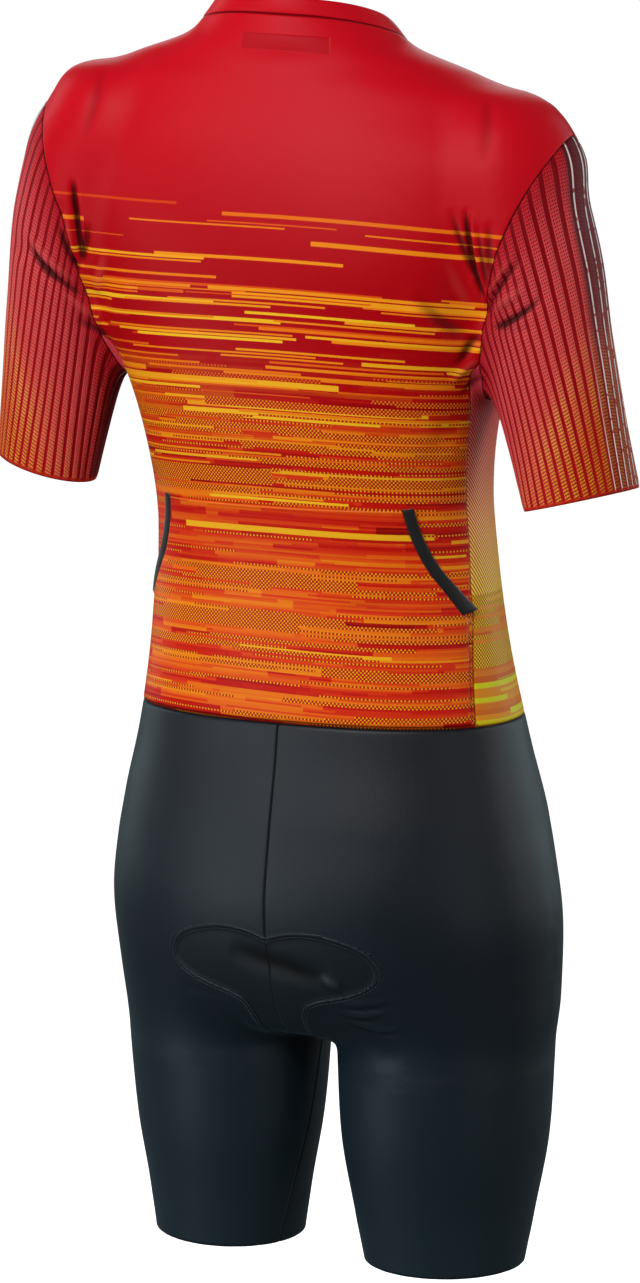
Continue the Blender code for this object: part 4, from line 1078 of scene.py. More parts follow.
def knit_height(f, u, v, pitch, depth):
    """Fine wales and courses of a dense knit, in metres of height."""
    wales = f.calc("SINE", f.times(u, 2 * pi / pitch))
    courses = f.calc("SINE", f.times(v, 2 * pi / (pitch * 0.8)))
    return f.times(f.add(wales, f.times(courses, 0.6)), depth)


def level_cells(f, u, v, pitch, length, seed):
    """Rows of level cells: height in the row, run in the cell, three chances, the row's own height."""
    height = f.times(v, 1 / pitch)
    row = f.calc("FLOOR", height)
    shift = f.chance(row, 0.0, seed)[0]
    run = f.add(f.times(u, 1 / length), f.times(shift, 9.0))
    chances = f.chance(row, f.calc("FLOOR", run), seed + 0.37)
    return f.calc("FRACT", height), f.calc("FRACT", run), chances, f.times(row, pitch)


def streaks(f, u, v, pitch, length, seed, share_at, part=1.0):
    """Level streaks with square ends, on a share of the cells by height: their cover, and a chance."""
    height, run, (luck, weight, tone), at = level_cells(f, u, v, pitch, length, seed)
    reach = f.add(0.26, f.times(weight, 0.23))
    ends = f.step(f.calc("SUBTRACT", reach, f.off(run, 0.5)), 0.0, 0.4 * MM / length)
    half = f.add(0.16, f.times(tone, 0.24))
    body = f.step(f.calc("SUBTRACT", half, f.off(height, 0.5)), -0.04, 0.04)
    on = f.calc("GREATER_THAN", f.times(share_at(at), part), luck)
    return f.times(f.times(ends, body), on), tone


DOT_ROW = 1.45 * MM
DOT_PITCH = 2.8 * MM


def dot_bands(f, u, v, rows_high, length, seed, share_at, part):
    """Where bands of whole rows of dots lie, on a share of the cells by height."""
    _, run, (luck, weight, _), at = level_cells(f, u, v, rows_high * DOT_ROW, length, seed)
    ends = f.calc("GREATER_THAN", f.add(0.30, f.times(weight, 0.24)), f.off(run, 0.5))
    return f.times(ends, f.calc("GREATER_THAN", f.times(share_at(at), part), luck))


def dots(f, u, v, least=0.02, most=0.42):
    """Round dots on a staggered lattice, one row to each DOT_ROW."""
    across = f.calc("COSINE", f.times(u, 2 * pi / DOT_PITCH))
    up = f.calc("SINE", f.times(v, pi / DOT_ROW))
    return f.step(f.times(across, up), least, most)


DEEP_RED = srgb(150, 6, 16)
ORANGE = srgb(238, 116, 16)
AMBER = srgb(244, 152, 24)
BLACK = (0.0, 0.0, 0.0)
STREAK_SHARES = ((-0.30, 0.75), (-0.245, 1.0), (-0.205, 0.62), (-0.165, 0.36), (-0.115, 0.0))
# the darker bar on the back, below the collar: its middle, and where each edge starts and ends
LABEL_MIDDLE = -0.004
LABEL_SIDE = (0.0325, 0.0315)
LABEL_FOOT = (-0.0225, -0.0215)
LABEL_TOP = (-0.0105, -0.0115)


def crease_shade(f, colour, dark=0.85, bright=0.16, light=(1.0, 0.16, 0.14)):
    """Painted shade down in the creases and a painted highlight along their ridges."""
    height = f.parts("crease")[0]
    # dark is the strength of the painted shade; bright and light are the strength and colour of the painted
    # highlight
    shaded = f.mix(f.times(f.step(height, -0.2 * MM, -2.4 * MM), dark), colour, BLACK)
    return f.mix(f.times(f.step(height, 0.4 * MM, 2.2 * MM), bright), shaded, light)


def seam_shade(f, colour, distance, width=1.1 * MM, dark=0.55):
    """A seam's own narrow shadow, and its soft hollow in metres."""
    line = f.step(distance, width, width * 0.25)
    shaded = f.mix(f.times(line, dark), colour, BLACK)
    return shaded, f.times(line, -0.25 * MM)


def printed_knit(name, on_pocket=False):
    """A red yoke, level streaks that thicken down the back, and bands of dots between tones below."""
    f = Finish(name, roughness=0.42, sheen=0.03, sheen_tint=(1.0, 0.35, 0.32), specular=0.07)
    u, v, _ = f.parts("place")
    seam, hem, _ = f.parts("edge")
    cluster = f.cloud(u, v, 7.0, 13.0)
    wave = f.times(f.calc("SINE", f.add(f.times(u, 17.0), f.times(v, 6.0))), 1.8 * MM)
    level = f.add(v, wave)
    tone = None
    for rows_high, length, seed, share in (
            (4, 0.170, 2.0, 0.44), (2, 0.120, 5.0, 0.34), (1, 0.080, 8.0, 0.22)):
        chance = f.times(level_cells(f, u, level, rows_high * DOT_ROW, length, seed)[2][0], share)
        tone = chance if tone is None else f.add(tone, chance)
    lift = f.curve(v, (-0.50, 0.08), (-0.40, 0.03), (-0.30, -0.02), (-0.22, -0.10))
    if on_pocket:
        lift = f.add(lift, f.times(f.step(hem, 34 * MM, 8 * MM), -0.20))
    tone = f.add(tone, lift)
    tones = f.shade(tone, (0.10, srgb(140, 10, 8)), (0.34, srgb(200, 24, 12)), (0.50, srgb(220, 54, 18)),
                    (0.66, srgb(234, 98, 18)), (0.90, srgb(240, 134, 20)))
    low = f.step(f.add(v, f.times(cluster, 0.05)), -0.200, -0.285)
    ground = f.mix(f.step(v, -0.05, -0.20), srgb(204, 12, 30), srgb(172, 2, 12))
    colour = f.mix(low, ground, tones)
    lowest = (-0.345, 0.10 if on_pocket else 0.3)

    def streak_share(at):
        return f.curve(at, lowest, *STREAK_SHARES)

    for seed, high, length, part in (
            (3.0, 5.6, 0.240, 0.36), (7.0, 3.6, 0.210, 0.50), (13.0, 2.4, 0.170, 0.50)):
        cover, luck = streaks(f, u, level, high * MM, length, seed, streak_share, part)
        streak = f.shade(luck, (0.0, srgb(218, 60, 12)), (0.35, ORANGE), (0.8, AMBER),
                         (1.0, srgb(246, 190, 34)))
        colour = f.mix(cover, colour, streak)
    top = (-0.345, 0.0) if on_pocket else (-0.340, 0.62)

    def dot_share(at):
        return f.curve(at, (-0.50, 0.34), (-0.465, 0.46), (-0.40, 0.34), (-0.365, 0.22), top,
                       (-0.28, 0.55), (-0.235, 0.0))

    dotted = None
    for rows_high, length, seed, part in (
            (4, 0.180, 21.0, 0.12), (2, 0.160, 29.0, 0.42), (1, 0.140, 37.0, 0.50)):
        band = dot_bands(f, u, level, rows_high, length, seed, dot_share, part)
        dotted = band if dotted is None else f.calc("MAXIMUM", dotted, band)
    spot = f.mix(f.step(v, -0.235, -0.29), srgb(226, 90, 30), srgb(246, 168, 28))
    print_dots = f.mix(dots(f, u, level), srgb(180, 26, 10), spot)
    colour = f.mix(dotted, colour, print_dots)
    label = f.times(f.step(f.off(u, LABEL_MIDDLE), *LABEL_SIDE), f.step(v, *LABEL_FOOT))
    label = f.times(label, f.step(v, *LABEL_TOP))
    if on_pocket:
        # painted highlight: a lighter line along the roll of the pocket's folded top edge
        fold_highlight = f.step(f.off(hem, 1.1 * MM), 0.8 * MM, 0.3 * MM)
        colour = f.mix(f.times(fold_highlight, 0.65), colour, srgb(240, 128, 40))
    else:
        colour = f.mix(f.times(label, 0.35), colour, DEEP_RED)
    # painted shade in the creases and a painted highlight on their ridges
    colour, hollow = seam_shade(f, crease_shade(f, colour), seam)
    f.colour(colour)
    soft = f.cloud(u, v, 40.0, 40.0)
    f.bump(knit_height(f, u, v, 0.9 * MM, 0.012 * MM), f.times(soft, 0.10 * MM),
           f.add(hollow, f.times(label, 0.0 if on_pocket else -0.30 * MM)))
    f.roughness(f.add(0.36, f.times(cluster, 0.12)))
    return f.material


def side_knit():
    """Pinkish red at the armpit, through fine slanted lines to amber and yellow-green."""
    f = Finish("side_knit", roughness=0.42, sheen=0.03, sheen_tint=(1.0, 0.6, 0.5), specular=0.07)
    u, v, _ = f.parts("place")
    seam = f.parts("edge")[0]
    ground = f.shade(v, (-0.50, srgb(226, 150, 26)), (-0.43, srgb(220, 132, 26)), (-0.36, srgb(232, 96, 50)),
                     (-0.30, srgb(226, 70, 70)), (-0.24, srgb(218, 62, 76)), (-0.19, srgb(190, 20, 38)))
    slant = f.add(f.calc("ABSOLUTE", u), f.times(v, 0.75))
    wave = f.calc("SINE", f.times(slant, 2 * pi / (3.0 * MM)))
    share = f.times(f.step(v, -0.245, -0.29), f.step(v, -0.425, -0.405))
    width = f.add(-0.45, f.times(f.step(v, -0.26, -0.39), 0.75))
    hatch = f.step(f.add(wave, width), -0.22, 0.22)
    light = f.shade(v, (-0.42, srgb(244, 222, 60)), (-0.35, srgb(246, 190, 110)),
                    (-0.28, srgb(240, 140, 124)))
    dark = f.shade(v, (-0.42, srgb(196, 70, 30)), (-0.35, srgb(204, 50, 36)), (-0.28, srgb(208, 34, 44)))
    level = f.add(v, f.times(f.calc("SINE", f.times(u, 23.0)), 1.5 * MM))
    tone = level_cells(f, u, level, 3.9 * MM, 0.11, 17.0)[2][0]
    colour = f.mix(f.times(f.step(v, -0.405, -0.43), 0.75), ground,
                   f.shade(tone, (0.0, srgb(206, 74, 30)), (0.5, srgb(224, 122, 34)),
                           (1.0, srgb(232, 152, 34))))
    colour = f.mix(share, colour, f.mix(hatch, dark, light))

    def dots_at(at):
        return f.times(f.step(at, -0.402, -0.415), f.step(at, -0.472, -0.460))

    dotted = f.calc("MAXIMUM", dot_bands(f, u, level, 2, 0.30, 43.0, dots_at, 0.50),
                    dot_bands(f, u, level, 4, 0.30, 47.0, dots_at, 0.42))
    colour = f.mix(dotted, colour, f.mix(dots(f, u, level), srgb(192, 84, 18), srgb(226, 226, 40)))
    cover, luck = streaks(f, u, level, 5.2 * MM, 0.28, 11.0,
                          lambda at: f.step(at, -0.448, -0.458), 0.55)
    colour = f.mix(cover, colour, f.shade(luck, (0.0, srgb(236, 180, 30)), (1.0, srgb(214, 222, 26))))
    # painted shade in the creases and a painted highlight on their ridges
    colour, hollow = seam_shade(f, crease_shade(f, colour), seam)
    f.colour(colour)
    soft = f.cloud(u, v, 40.0, 40.0)
    f.bump(knit_height(f, u, v, 0.9 * MM, 0.012 * MM), f.times(soft, 0.10 * MM), hollow)
    return f.material


def rib_knit():
    """Lengthwise ribs: a lighter band of open lattice and a deep groove, turning amber to the hem; the
    band's pink is partly print and partly painted highlight, the groove's darker red is painted shade.
    """
    f = Finish("rib_knit", roughness=0.6, sheen=0.03, sheen_tint=(1.0, 0.4, 0.4), specular=0.08)
    rib, along, front = f.parts("place")
    seam, hem, _ = f.parts("edge")
    phase = f.calc("FRACT", rib)
    off = f.off(phase, 0.5)
    band = f.step(off, 0.35, 0.29)
    mottle = f.cloud(rib, along, 0.16, 16.0, 2.0, 0.6)
    low = f.step(f.add(along, f.times(f.add(mottle, -0.5), 0.10)), 0.100, 0.165)
    # painted shade: the darker red down in the grooves between the ribs
    groove = f.shade(along, (0.0, srgb(126, 2, 14)), (0.15, srgb(158, 4, 12)), (0.23, srgb(178, 16, 12)))
    # partly print, partly painted highlight: the lighter pink along the raised ribs
    light = f.shade(along, (0.0, srgb(196, 20, 36)), (0.05, srgb(226, 78, 82)), (0.14, srgb(230, 88, 80)),
                    (0.19, srgb(208, 48, 28)), (0.235, srgb(198, 50, 18)))
    shaded = f.shade(along, (0.0, srgb(110, 2, 16)), (0.15, srgb(160, 14, 24)), (0.235, srgb(110, 10, 8)))
    lattice = f.times(f.calc("COSINE", f.times(off, 2 * pi * 2.7)),
                      f.calc("SINE", f.times(along, 2 * pi / (2.5 * MM))))
    hole = f.step(lattice, 0.22, 0.55)
    knot = f.step(lattice, -0.10, -0.50)
    colour = f.mix(band, groove, f.mix(hole, light, shaded))
    amber = f.shade(mottle, (0.30, srgb(228, 128, 30)), (0.52, srgb(236, 172, 38)),
                    (0.72, srgb(244, 206, 60)))
    colour = f.mix(f.times(f.times(knot, band), f.times(low, 0.92)), colour, amber)
    dim = f.shade(along, (0.0, srgb(74, 6, 22)), (0.16, srgb(96, 10, 22)), (0.235, srgb(120, 22, 14)))
    colour = f.mix(f.times(front, f.add(0.86, f.times(low, -0.35))), colour, dim)
    flank = f.step(f.off(phase, 0.84), 0.055, 0.030)
    broken = f.step(f.cloud(rib, along, 1.7, 160.0, 1.0), 0.30, 0.46)
    white = f.times(f.times(flank, front), f.add(0.45, f.times(broken, 0.55)))
    colour = f.mix(white, colour, f.mix(f.step(broken, 0.2, 0.9), srgb(228, 120, 120), srgb(240, 232, 226)))
    trim = f.step(hem, 3.0 * MM, 2.6 * MM)
    colour = f.mix(f.times(trim, 0.85), colour, srgb(196, 34, 22))
    # painted shade in the creases and a painted highlight on their ridges
    colour, hollow = seam_shade(f, crease_shade(f, colour), seam, 1.3 * MM, 0.7)
    f.colour(colour)
    mesh = f.times(f.times(f.calc("SUBTRACT", knot, hole), band), 0.12 * MM)
    yarn = f.cloud(rib, along, 9.0, 900.0)
    f.bump(f.times(mesh, f.calc("SUBTRACT", 1.0, trim)), f.times(yarn, 0.06 * MM), hollow)
    return f.material


def shorts_knit():
    """Dense near-black stretch knit with a soft cool sheen."""
    f = Finish("shorts_knit", roughness=0.46, sheen=0.10, sheen_tint=(0.25, 0.55, 0.65), specular=0.30,
               sheen_roughness=0.30)
    u, v, _ = f.parts("place")
    seam, _, pad = f.parts("edge")
    cloud = f.cloud(u, v, 14.0, 7.0, 3.0, 0.55)
    grain = f.cloud(u, v, 900.0, 260.0, 2.0, 0.6)
    # partly the cloth's own navy-black tone, partly painted highlight: lighter and bluer down the legs,
    # warmer grey at the waist
    ground = f.shade(v, (-0.90, srgb(20, 38, 46)), (-0.80, srgb(16, 32, 40)), (-0.70, srgb(8, 21, 30)),
                     (-0.58, srgb(14, 19, 27)), (-0.50, srgb(24, 22, 28)))
    colour = f.mix(f.times(f.step(cloud, 0.3, 0.75), 0.5), ground, srgb(16, 27, 36))
    # painted shade: the sunken cloth over the pad is darker inside its outline
    colour = f.mix(f.times(f.step(pad, 0.0, -3.0 * MM), 0.4), colour, srgb(9, 13, 17))
    colour = f.mix(f.times(grain, 0.22), colour, srgb(30, 38, 45))
    # painted shade in the creases and a grey-blue painted highlight along their ridges
    colour, hollow = seam_shade(f, crease_shade(f, colour, 0.9, 0.4, srgb(50, 60, 68)), seam, 1.2 * MM, 0.7)
    f.colour(colour)
    ripple = f.cloud(u, v, 55.0, 22.0)
    ridge = f.times(f.step(f.off(pad, -1.8 * MM), 1.4 * MM, 0.4 * MM), 0.45 * MM)
    f.bump(knit_height(f, u, v, 1.0 * MM, 0.016 * MM), f.times(ripple, 0.16 * MM), f.add(hollow, ridge))
    f.roughness(f.add(0.40, f.times(cloud, 0.16)))
    return f.material


def plain_knit(name, colour, lighter, roughness=0.7, sheen=0.2, pitch=0.9 * MM):
    """An unprinted cloth face: insides, bindings and the pad's cover."""
    f = Finish(name, roughness=roughness, sheen=sheen, specular=0.3)
    u, v, _ = f.parts("place")
    cloud = f.cloud(u, v, 60.0, 60.0, 3.0, 0.6)
    f.colour(f.mix(cloud, colour, lighter))
    f.bump(knit_height(f, u, v, pitch, 0.02 * MM), f.times(cloud, 0.08 * MM))
    return f.material


def thread(name, colour, lighter):
    f = Finish(name, roughness=0.6, sheen=0.3, specular=0.35)
    at = f.node("ShaderNodeTexCoord", {}).outputs["Object"]
    f.colour(f.mix(f.noise(at, 1800.0, 1.0), colour, lighter))
    f.bump(f.times(f.noise(at, 2600.0, 1.0), 0.05 * MM))
    return f.material


def metal_finish():
    f = Finish("slider_metal", roughness=0.32, metallic=1.0)
    at = f.node("ShaderNodeTexCoord", {}).outputs["Object"]
    wear = f.noise(at, 420.0, 3.0, 0.6)
    f.colour(f.mix(wear, srgb(96, 98, 102), srgb(150, 152, 156)))
    f.roughness(f.add(0.24, f.times(wear, 0.2)))
    f.bump(f.times(f.noise(at, 1500.0, 2.0), 0.02 * MM))
    return f.material


# ---- the pieces ----
def trunk_place(grid):
    return np.stack([round_trunk(grid), grid[..., 2], 0 * grid[..., 0]], -1)


def edge_vector(grid, seams, hems=(), third=None):
    return np.stack([edge_distances(grid, seams), edge_distances(grid, hems),
                     0 * grid[..., 0] + 1 if third is None else third], -1)


ALL_EDGES = ("top", "bottom", "first", "last")
SIDES = ((1, "left"), (-1, "right"))


def make_jersey(finish, side_finish, inside):
    back, front, side = back_half(), front_half(), side_panel()
    whole = settle(upper_field, np.concatenate([mirrored(back[:, :0:-1]), back], axis=1), 3, 0.005)
    panels = [("back", whole, finish, "jersey_cloth")]
    for sign, word in SIDES:
        panels.append(("front_" + word, both_sides(front, upper_field, sign), finish, "jersey_cloth"))
        panels.append(("side_" + word, both_sides(side, upper_field, sign), side_finish, "side_cloth"))
    shells = {name: shell(name + "_shell", name, grid, upper_field, [outside, inside], JERSEY_WALL,
                          trunk_place(grid), edge_vector(grid, ALL_EDGES))
              for name, grid, outside, slot in panels}
    return shells, back, front, side


RIB_RISE = 0.6 * MM
UNDERARM_TURN = 158.0
FRONT_FROM, FRONT_TO, FRONT_SOFT = 166, 33, 7


def make_sleeves(finish, inside):
    grid = sleeve()
    ribs = RIBS_TO_KNOT * (ARMHOLE_ROWS * 2 + UNDERARM_COLUMNS)
    number = np.linspace(0, ribs, grid.shape[1])[None] + 0 * grid[..., 0]
    phase = number % 1.0
    off = np.abs(phase - 0.5)
    fall = np.clip((off - 0.24) / 0.12, 0, 1)
    profile = 1 - fall**2 * (3 - 2 * fall)
    down = lengths(grid, 0)
    start = np.clip(down / 0.012, 0, 1)
    end = np.clip((down[-1:] - down) / 0.004, 0, 1)
    height = RIB_RISE * profile * start * end
    along, side, depth = limb_axes(SHOULDER_JOINT, SLEEVE_END)
    d = grid - SHOULDER_JOINT
    turn = np.degrees(np.arctan2(d @ depth, d @ side)) % 360
    past = np.minimum((turn - FRONT_FROM) % 360, (FRONT_TO - turn) % 360)
    front = np.where((turn > FRONT_FROM) | (turn < FRONT_TO), np.clip(past / FRONT_SOFT, 0, 1), 0)
    across = lengths(grid, 1)
    seam_column = np.argmin(np.abs(turn - UNDERARM_TURN), axis=1)[:, None]
    under = np.abs(across - np.take_along_axis(across, seam_column, 1))
    made = {}
    for sign, word in SIDES:
        own = both_sides(grid, upper_field, sign)
        own[:, -1] = own[:, 0]
        place = np.stack([number, down, front], -1)
        edge = edge_vector(own, ("top",), ("bottom",))
        edge[..., 0] = np.minimum(edge[..., 0], under + 0.4 * MM)
        made["sleeve_" + word] = shell("sleeve_%s_shell" % word, "sleeve_" + word, own, upper_field,
                                       [finish, inside], JERSEY_WALL, place, edge, height,
                                       ring=True)
    return made


def make_collar(finish, inside):
    half = collar_half()
    grid = np.concatenate([half, mirrored(half[:, -2::-1])], axis=1)
    share = np.linspace(0, 1, len(grid))[:, None] + 0 * grid[..., 0]
    height = 0.5 * MM * np.sin(pi * np.clip(share, 0, 1))**0.7
    return shell("collar_shell", "collar", grid, trunk_field, [finish, inside], JERSEY_WALL,
                 trunk_place(grid), edge_vector(grid, ("top",), ("bottom",)), height)


# The pad's stitched outline: out from the centre, and turn down and forward from straight back.
PAD_LINE = rows(
    "number x turn",
    (0, 0.000, 15.8), (1, 0.012, 13.9), (2, 0.028, 12.8), (3, 0.044, 13.3), (4, 0.058, 14.9),
    (5, 0.070, 17.0), (6, 0.080, 20.0), (7, 0.086, 24.0), (8, 0.087, 28.0), (9, 0.083, 31.3),
    (10, 0.073, 34.0), (11, 0.060, 36.0), (12, 0.046, 37.4), (13, 0.034, 38.8), (14, 0.026, 41.5),
    (15, 0.023, 50.0), (16, 0.024, 72.0), (17, 0.030, 92.0), (18, 0.036, 115.0), (19, 0.039, 132.0),
    (20, 0.032, 144.0), (21, 0.016, 150.0), (22, 0.000, 152.0),
)
PAD_FLOOR = -0.748


def pad_line(inset=0.0):
    """The pad's outline on the shorts, a closed line from the centre back, inset by a distance."""
    number = np.linspace(0, len(PAD_LINE["x"]) - 1, 221)
    x = column(PAD_LINE, "number", number, "x")
    turn = column(PAD_LINE, "number", number, "turn")
    middle = midline_point(turn)
    half = settle(lower_field, middle + np.stack([x, 0 * x, 0 * x], -1), 12, 0.006)
    line = np.concatenate([half, mirrored(half[-2::-1])])
    if inset:
        run = np.gradient(line, axis=0)
        out = normals(lower_field, line)
        inward = unit(np.cross(run, out))
        centre = line.mean(axis=0)
        inward *= np.sign(np.sum(inward[5] * (centre - line[5])))
        line = settle(lower_field, line + inward * inset, 3, 0.004)
    return line


def pad_distance(points, line):
    """Signed distance to the pad's outline, below zero inside it."""
    flat = points.reshape(-1, 3)
    near = (np.abs(flat[:, 0]) < 0.12) & (flat[:, 2] < -0.60) & (flat[:, 2] > -0.80)
    far = np.full(len(flat), 0.05)
    chosen = flat[near]
    best = np.full(len(chosen), 1.0)
    for k in range(0, len(line), 40):
        gap = np.linalg.norm(chosen[:, None] - line[None, k:k + 40], axis=-1).min(axis=1)
        best = np.minimum(best, gap)
    out = np.abs(chosen[:, 0])
    turn = np.degrees(np.arctan2(HIP_JOINT[2] + HUB_RISE - chosen[:, 2], chosen[:, 1] - HIP_JOINT[1]))
    side = np.interp(turn, PAD_LINE["turn"][3:], PAD_LINE["x"][3:], left=0.0, right=0.0)
    top = np.interp(out, PAD_LINE["x"][:8], PAD_LINE["turn"][:8])
    inside = (turn > top) & ((out < side) | (turn < 20) & (out < 0.06)) & (chosen[:, 2] > PAD_FLOOR)
    far[near] = np.where(inside, -best, best)
    return far.reshape(points.shape[:-1])


PAD_SUNK = 1.0 * MM
PAD_SLOPE = 4 * MM
PAD_ROLL = 1.1 * MM
PAD_ROLL_IN = 2.0 * MM
PAD_ROLL_REACH = 1.8 * MM
CALM_ROUNDS = 160
CALM_HEIGHT = -0.765
CALM_REACH = 0.055


def calm_thigh(grid):
    """Take the faint level ridge out of the outer thigh, where the hips' form ends on the leg's."""
    share = np.linspace(0, 1, grid.shape[1])[None, 1:-1]
    across = np.clip((np.minimum(share, 1 - share) - 0.12) / 0.10, 0, 1)
    for _ in range(CALM_ROUNDS):
        height = grid[1:-1, 1:-1, 2]
        weight = 0.5 * across * np.exp(-((height - CALM_HEIGHT) / CALM_REACH)**4)
        middle = (grid[:-2, 1:-1] + grid[2:, 1:-1]) / 2
        grid[1:-1, 1:-1] += (middle - grid[1:-1, 1:-1]) * weight[..., None]


def make_shorts(finish, inside, back, front, side):
    middle = outward(upper_field, (0, -0.02, WAIST_HEIGHT), (0, -1.0, 0))
    waist = np.concatenate([back[-1], side[-1, 1:], front[-1, -2::-1], middle[None]])
    knots = list(HALF_KNOTS)
    knots += [HALF_KNOTS[-1] + COLUMN_PARTS * (k + 1) for k in range(UNDERARM_COLUMNS)]
    knots += list(knots[-1] + HALF_KNOTS[-1] - HALF_KNOTS[-2::-1]) + [len(waist) - 1]
    coarse_ring = waist[knots]
    column_counts = [FINE_COLUMN_PARTS] * FINE_COLUMNS
    column_counts += [COLUMN_PARTS - 2] * (len(knots) - 1 - FINE_COLUMNS)
    ring = between(waist, np.interp(split_lines(column_counts), np.arange(len(knots)), knots))
    length = np.concatenate(([0], np.cumsum(np.linalg.norm(np.diff(coarse_ring, axis=0), axis=-1))))
    coarse = shorts_grid(length / length[-1])
    coarse[0] = coarse_ring
    row_counts = [SEAT_PARTS] * SEAT_ROWS + [CROTCH_PARTS] * CROTCH_ROWS + [LEG_PARTS] * LEG_ROWS
    grid = fine_grid(lower_field, coarse, row_counts, column_counts, top=ring, rounds=4)
    leg_from = SEAT_PARTS * SEAT_ROWS + CROTCH_PARTS * CROTCH_ROWS
    for place in (0, -1):
        grid[:leg_from, place, 0] = 0.0
    grid[leg_from:, -1] = grid[leg_from:, 0]
    calm_thigh(grid)
    outline = pad_line()
    made = {}
    for sign, word in SIDES:
        own = both_sides(grid, lower_field, sign)
        own[0] = ring if sign > 0 else mirrored(ring)
        own[:leg_from, 0, 0] = own[:leg_from, -1, 0] = 0.0
        pad = pad_distance(own, outline)
        sunk = -PAD_SUNK * np.clip(0.5 - pad / PAD_SLOPE, 0, 1)
        roll = PAD_ROLL * np.exp(-((pad + PAD_ROLL_IN) / PAD_ROLL_REACH)**2)
        place = np.stack([lengths(own, 1), own[..., 2], 0 * pad], -1)
        edge = edge_vector(own, ("top", "first", "last"), ("bottom",), pad)
        edge[..., 0] = np.where(pad < 0, np.maximum(edge[..., 0], -3 * pad), edge[..., 0])
        made["shorts_" + word] = shell("shorts_%s_shell" % word, "shorts_" + word, own, lower_field,
                                       [finish, inside], SHORTS_WALL, place, edge,
                                       sunk + roll)
    return made, grid, leg_from


def on_back(out, height):
    """The point of the jersey's back at a distance out from the centre, at a height."""
    out, height = np.broadcast_arrays(np.asarray(out, float), np.asarray(height, float))
    start = np.stack([out, 0 * out - 0.03, height], -1)
    return outward(trunk_field, start, (0, 1.0, 0), 0.2, 120)


def trim_edges(count):
    """The wearer's left pocket binding: its inner and outer edge, as (out, height) pairs."""
    heights = np.linspace(TRIM_LINE["height"][-1], TRIM_LINE["height"][0], count)
    out = column(TRIM_LINE, "height", heights, "out")
    line = np.stack([out, heights], -1)
    run = unit(np.gradient(line, axis=0))
    across = np.stack([-run[:, 1], run[:, 0]], -1)
    return line - across * TRIM_WIDTH / 2, line + across * TRIM_WIDTH / 2


OPEN_SIDE_FOOT = -0.42
POCKET_EDGE_ROWS = 41
POCKET_LOW_ROWS = 34
POCKET_COLUMNS = 109
POCKET_EASE = 9 * MM
POCKET_HEM_ROLL = 0.5 * MM
POCKET_HEM_REACH = 3.0 * MM
TRIM_SHELL_WALL = 1.2 * MM
TRIM_COLUMNS = 9


def make_pocket(finish, trim_finish, inside):
    """The pouch on the low back, and the bindings of its two slanted openings."""
    inner, outer = trim_edges(POCKET_EDGE_ROWS)
    low = np.linspace(inner[-1, 1], WAIST_HEIGHT + POCKET_OFF_WAIST, POCKET_LOW_ROWS)[1:]
    seam = side_seam_point(low, "back")[:, 0] - POCKET_OFF_SEAM
    reach = np.concatenate([inner, np.stack([seam, low], -1)])
    spread = np.sin(np.linspace(-1, 1, POCKET_COLUMNS) * POCKET_SPREAD)
    grid = np.array([on_back(limit * spread / sin(POCKET_SPREAD), height) for limit, height in reach])
    down, across = lengths(grid, 0), lengths(grid, 1)
    sides = np.minimum(across, across[:, -1:] - across) + 0.02 * (grid[..., 2] > OPEN_SIDE_FOOT)
    sewn = np.minimum(down[-1:] - down, sides)
    lift = POCKET_WALL + POCKET_LIFT * np.clip(0.25 + sewn / POCKET_EASE, 0, 1)
    lift = lift + POCKET_HEM_ROLL * np.exp(-(down / POCKET_HEM_REACH)**2)
    edge = edge_vector(grid, ("bottom",), ("top",))
    pocket = shell("pocket_shell", "pocket", grid, trunk_field, [finish, inside], POCKET_WALL,
                   trunk_place(grid), edge, lift)
    made = {"pocket": pocket}
    across_share = np.linspace(0, 1, TRIM_COLUMNS)
    arch = np.sin(pi * np.clip(across_share, 0.06, 0.94))**0.35
    for sign, word in SIDES:
        strip = np.array([on_back(*(a[:, None] + (b - a)[:, None] * across_share))
                          for a, b in zip(inner, outer)])
        strip = strip * np.array((sign, 1, 1.0))
        place = np.stack([lengths(strip, 1), lengths(strip, 0), 0 * strip[..., 0]], -1)
        name = "pocket_trim_" + word
        height = POCKET_LIFT + TRIM_WALL * arch[None] + 0 * strip[..., 0]
        made[name] = shell(name + "_shell", name, strip, trunk_field, [trim_finish],
                           TRIM_SHELL_WALL, place, edge_vector(strip, ()), height)
    return made


PAD_PARTS = 5
PAD_COLUMNS = 61
PAD_CHANNEL = 1.6 * MM
PAD_CHANNEL_AT = 0.42
PAD_CHANNEL_REACH = 0.05


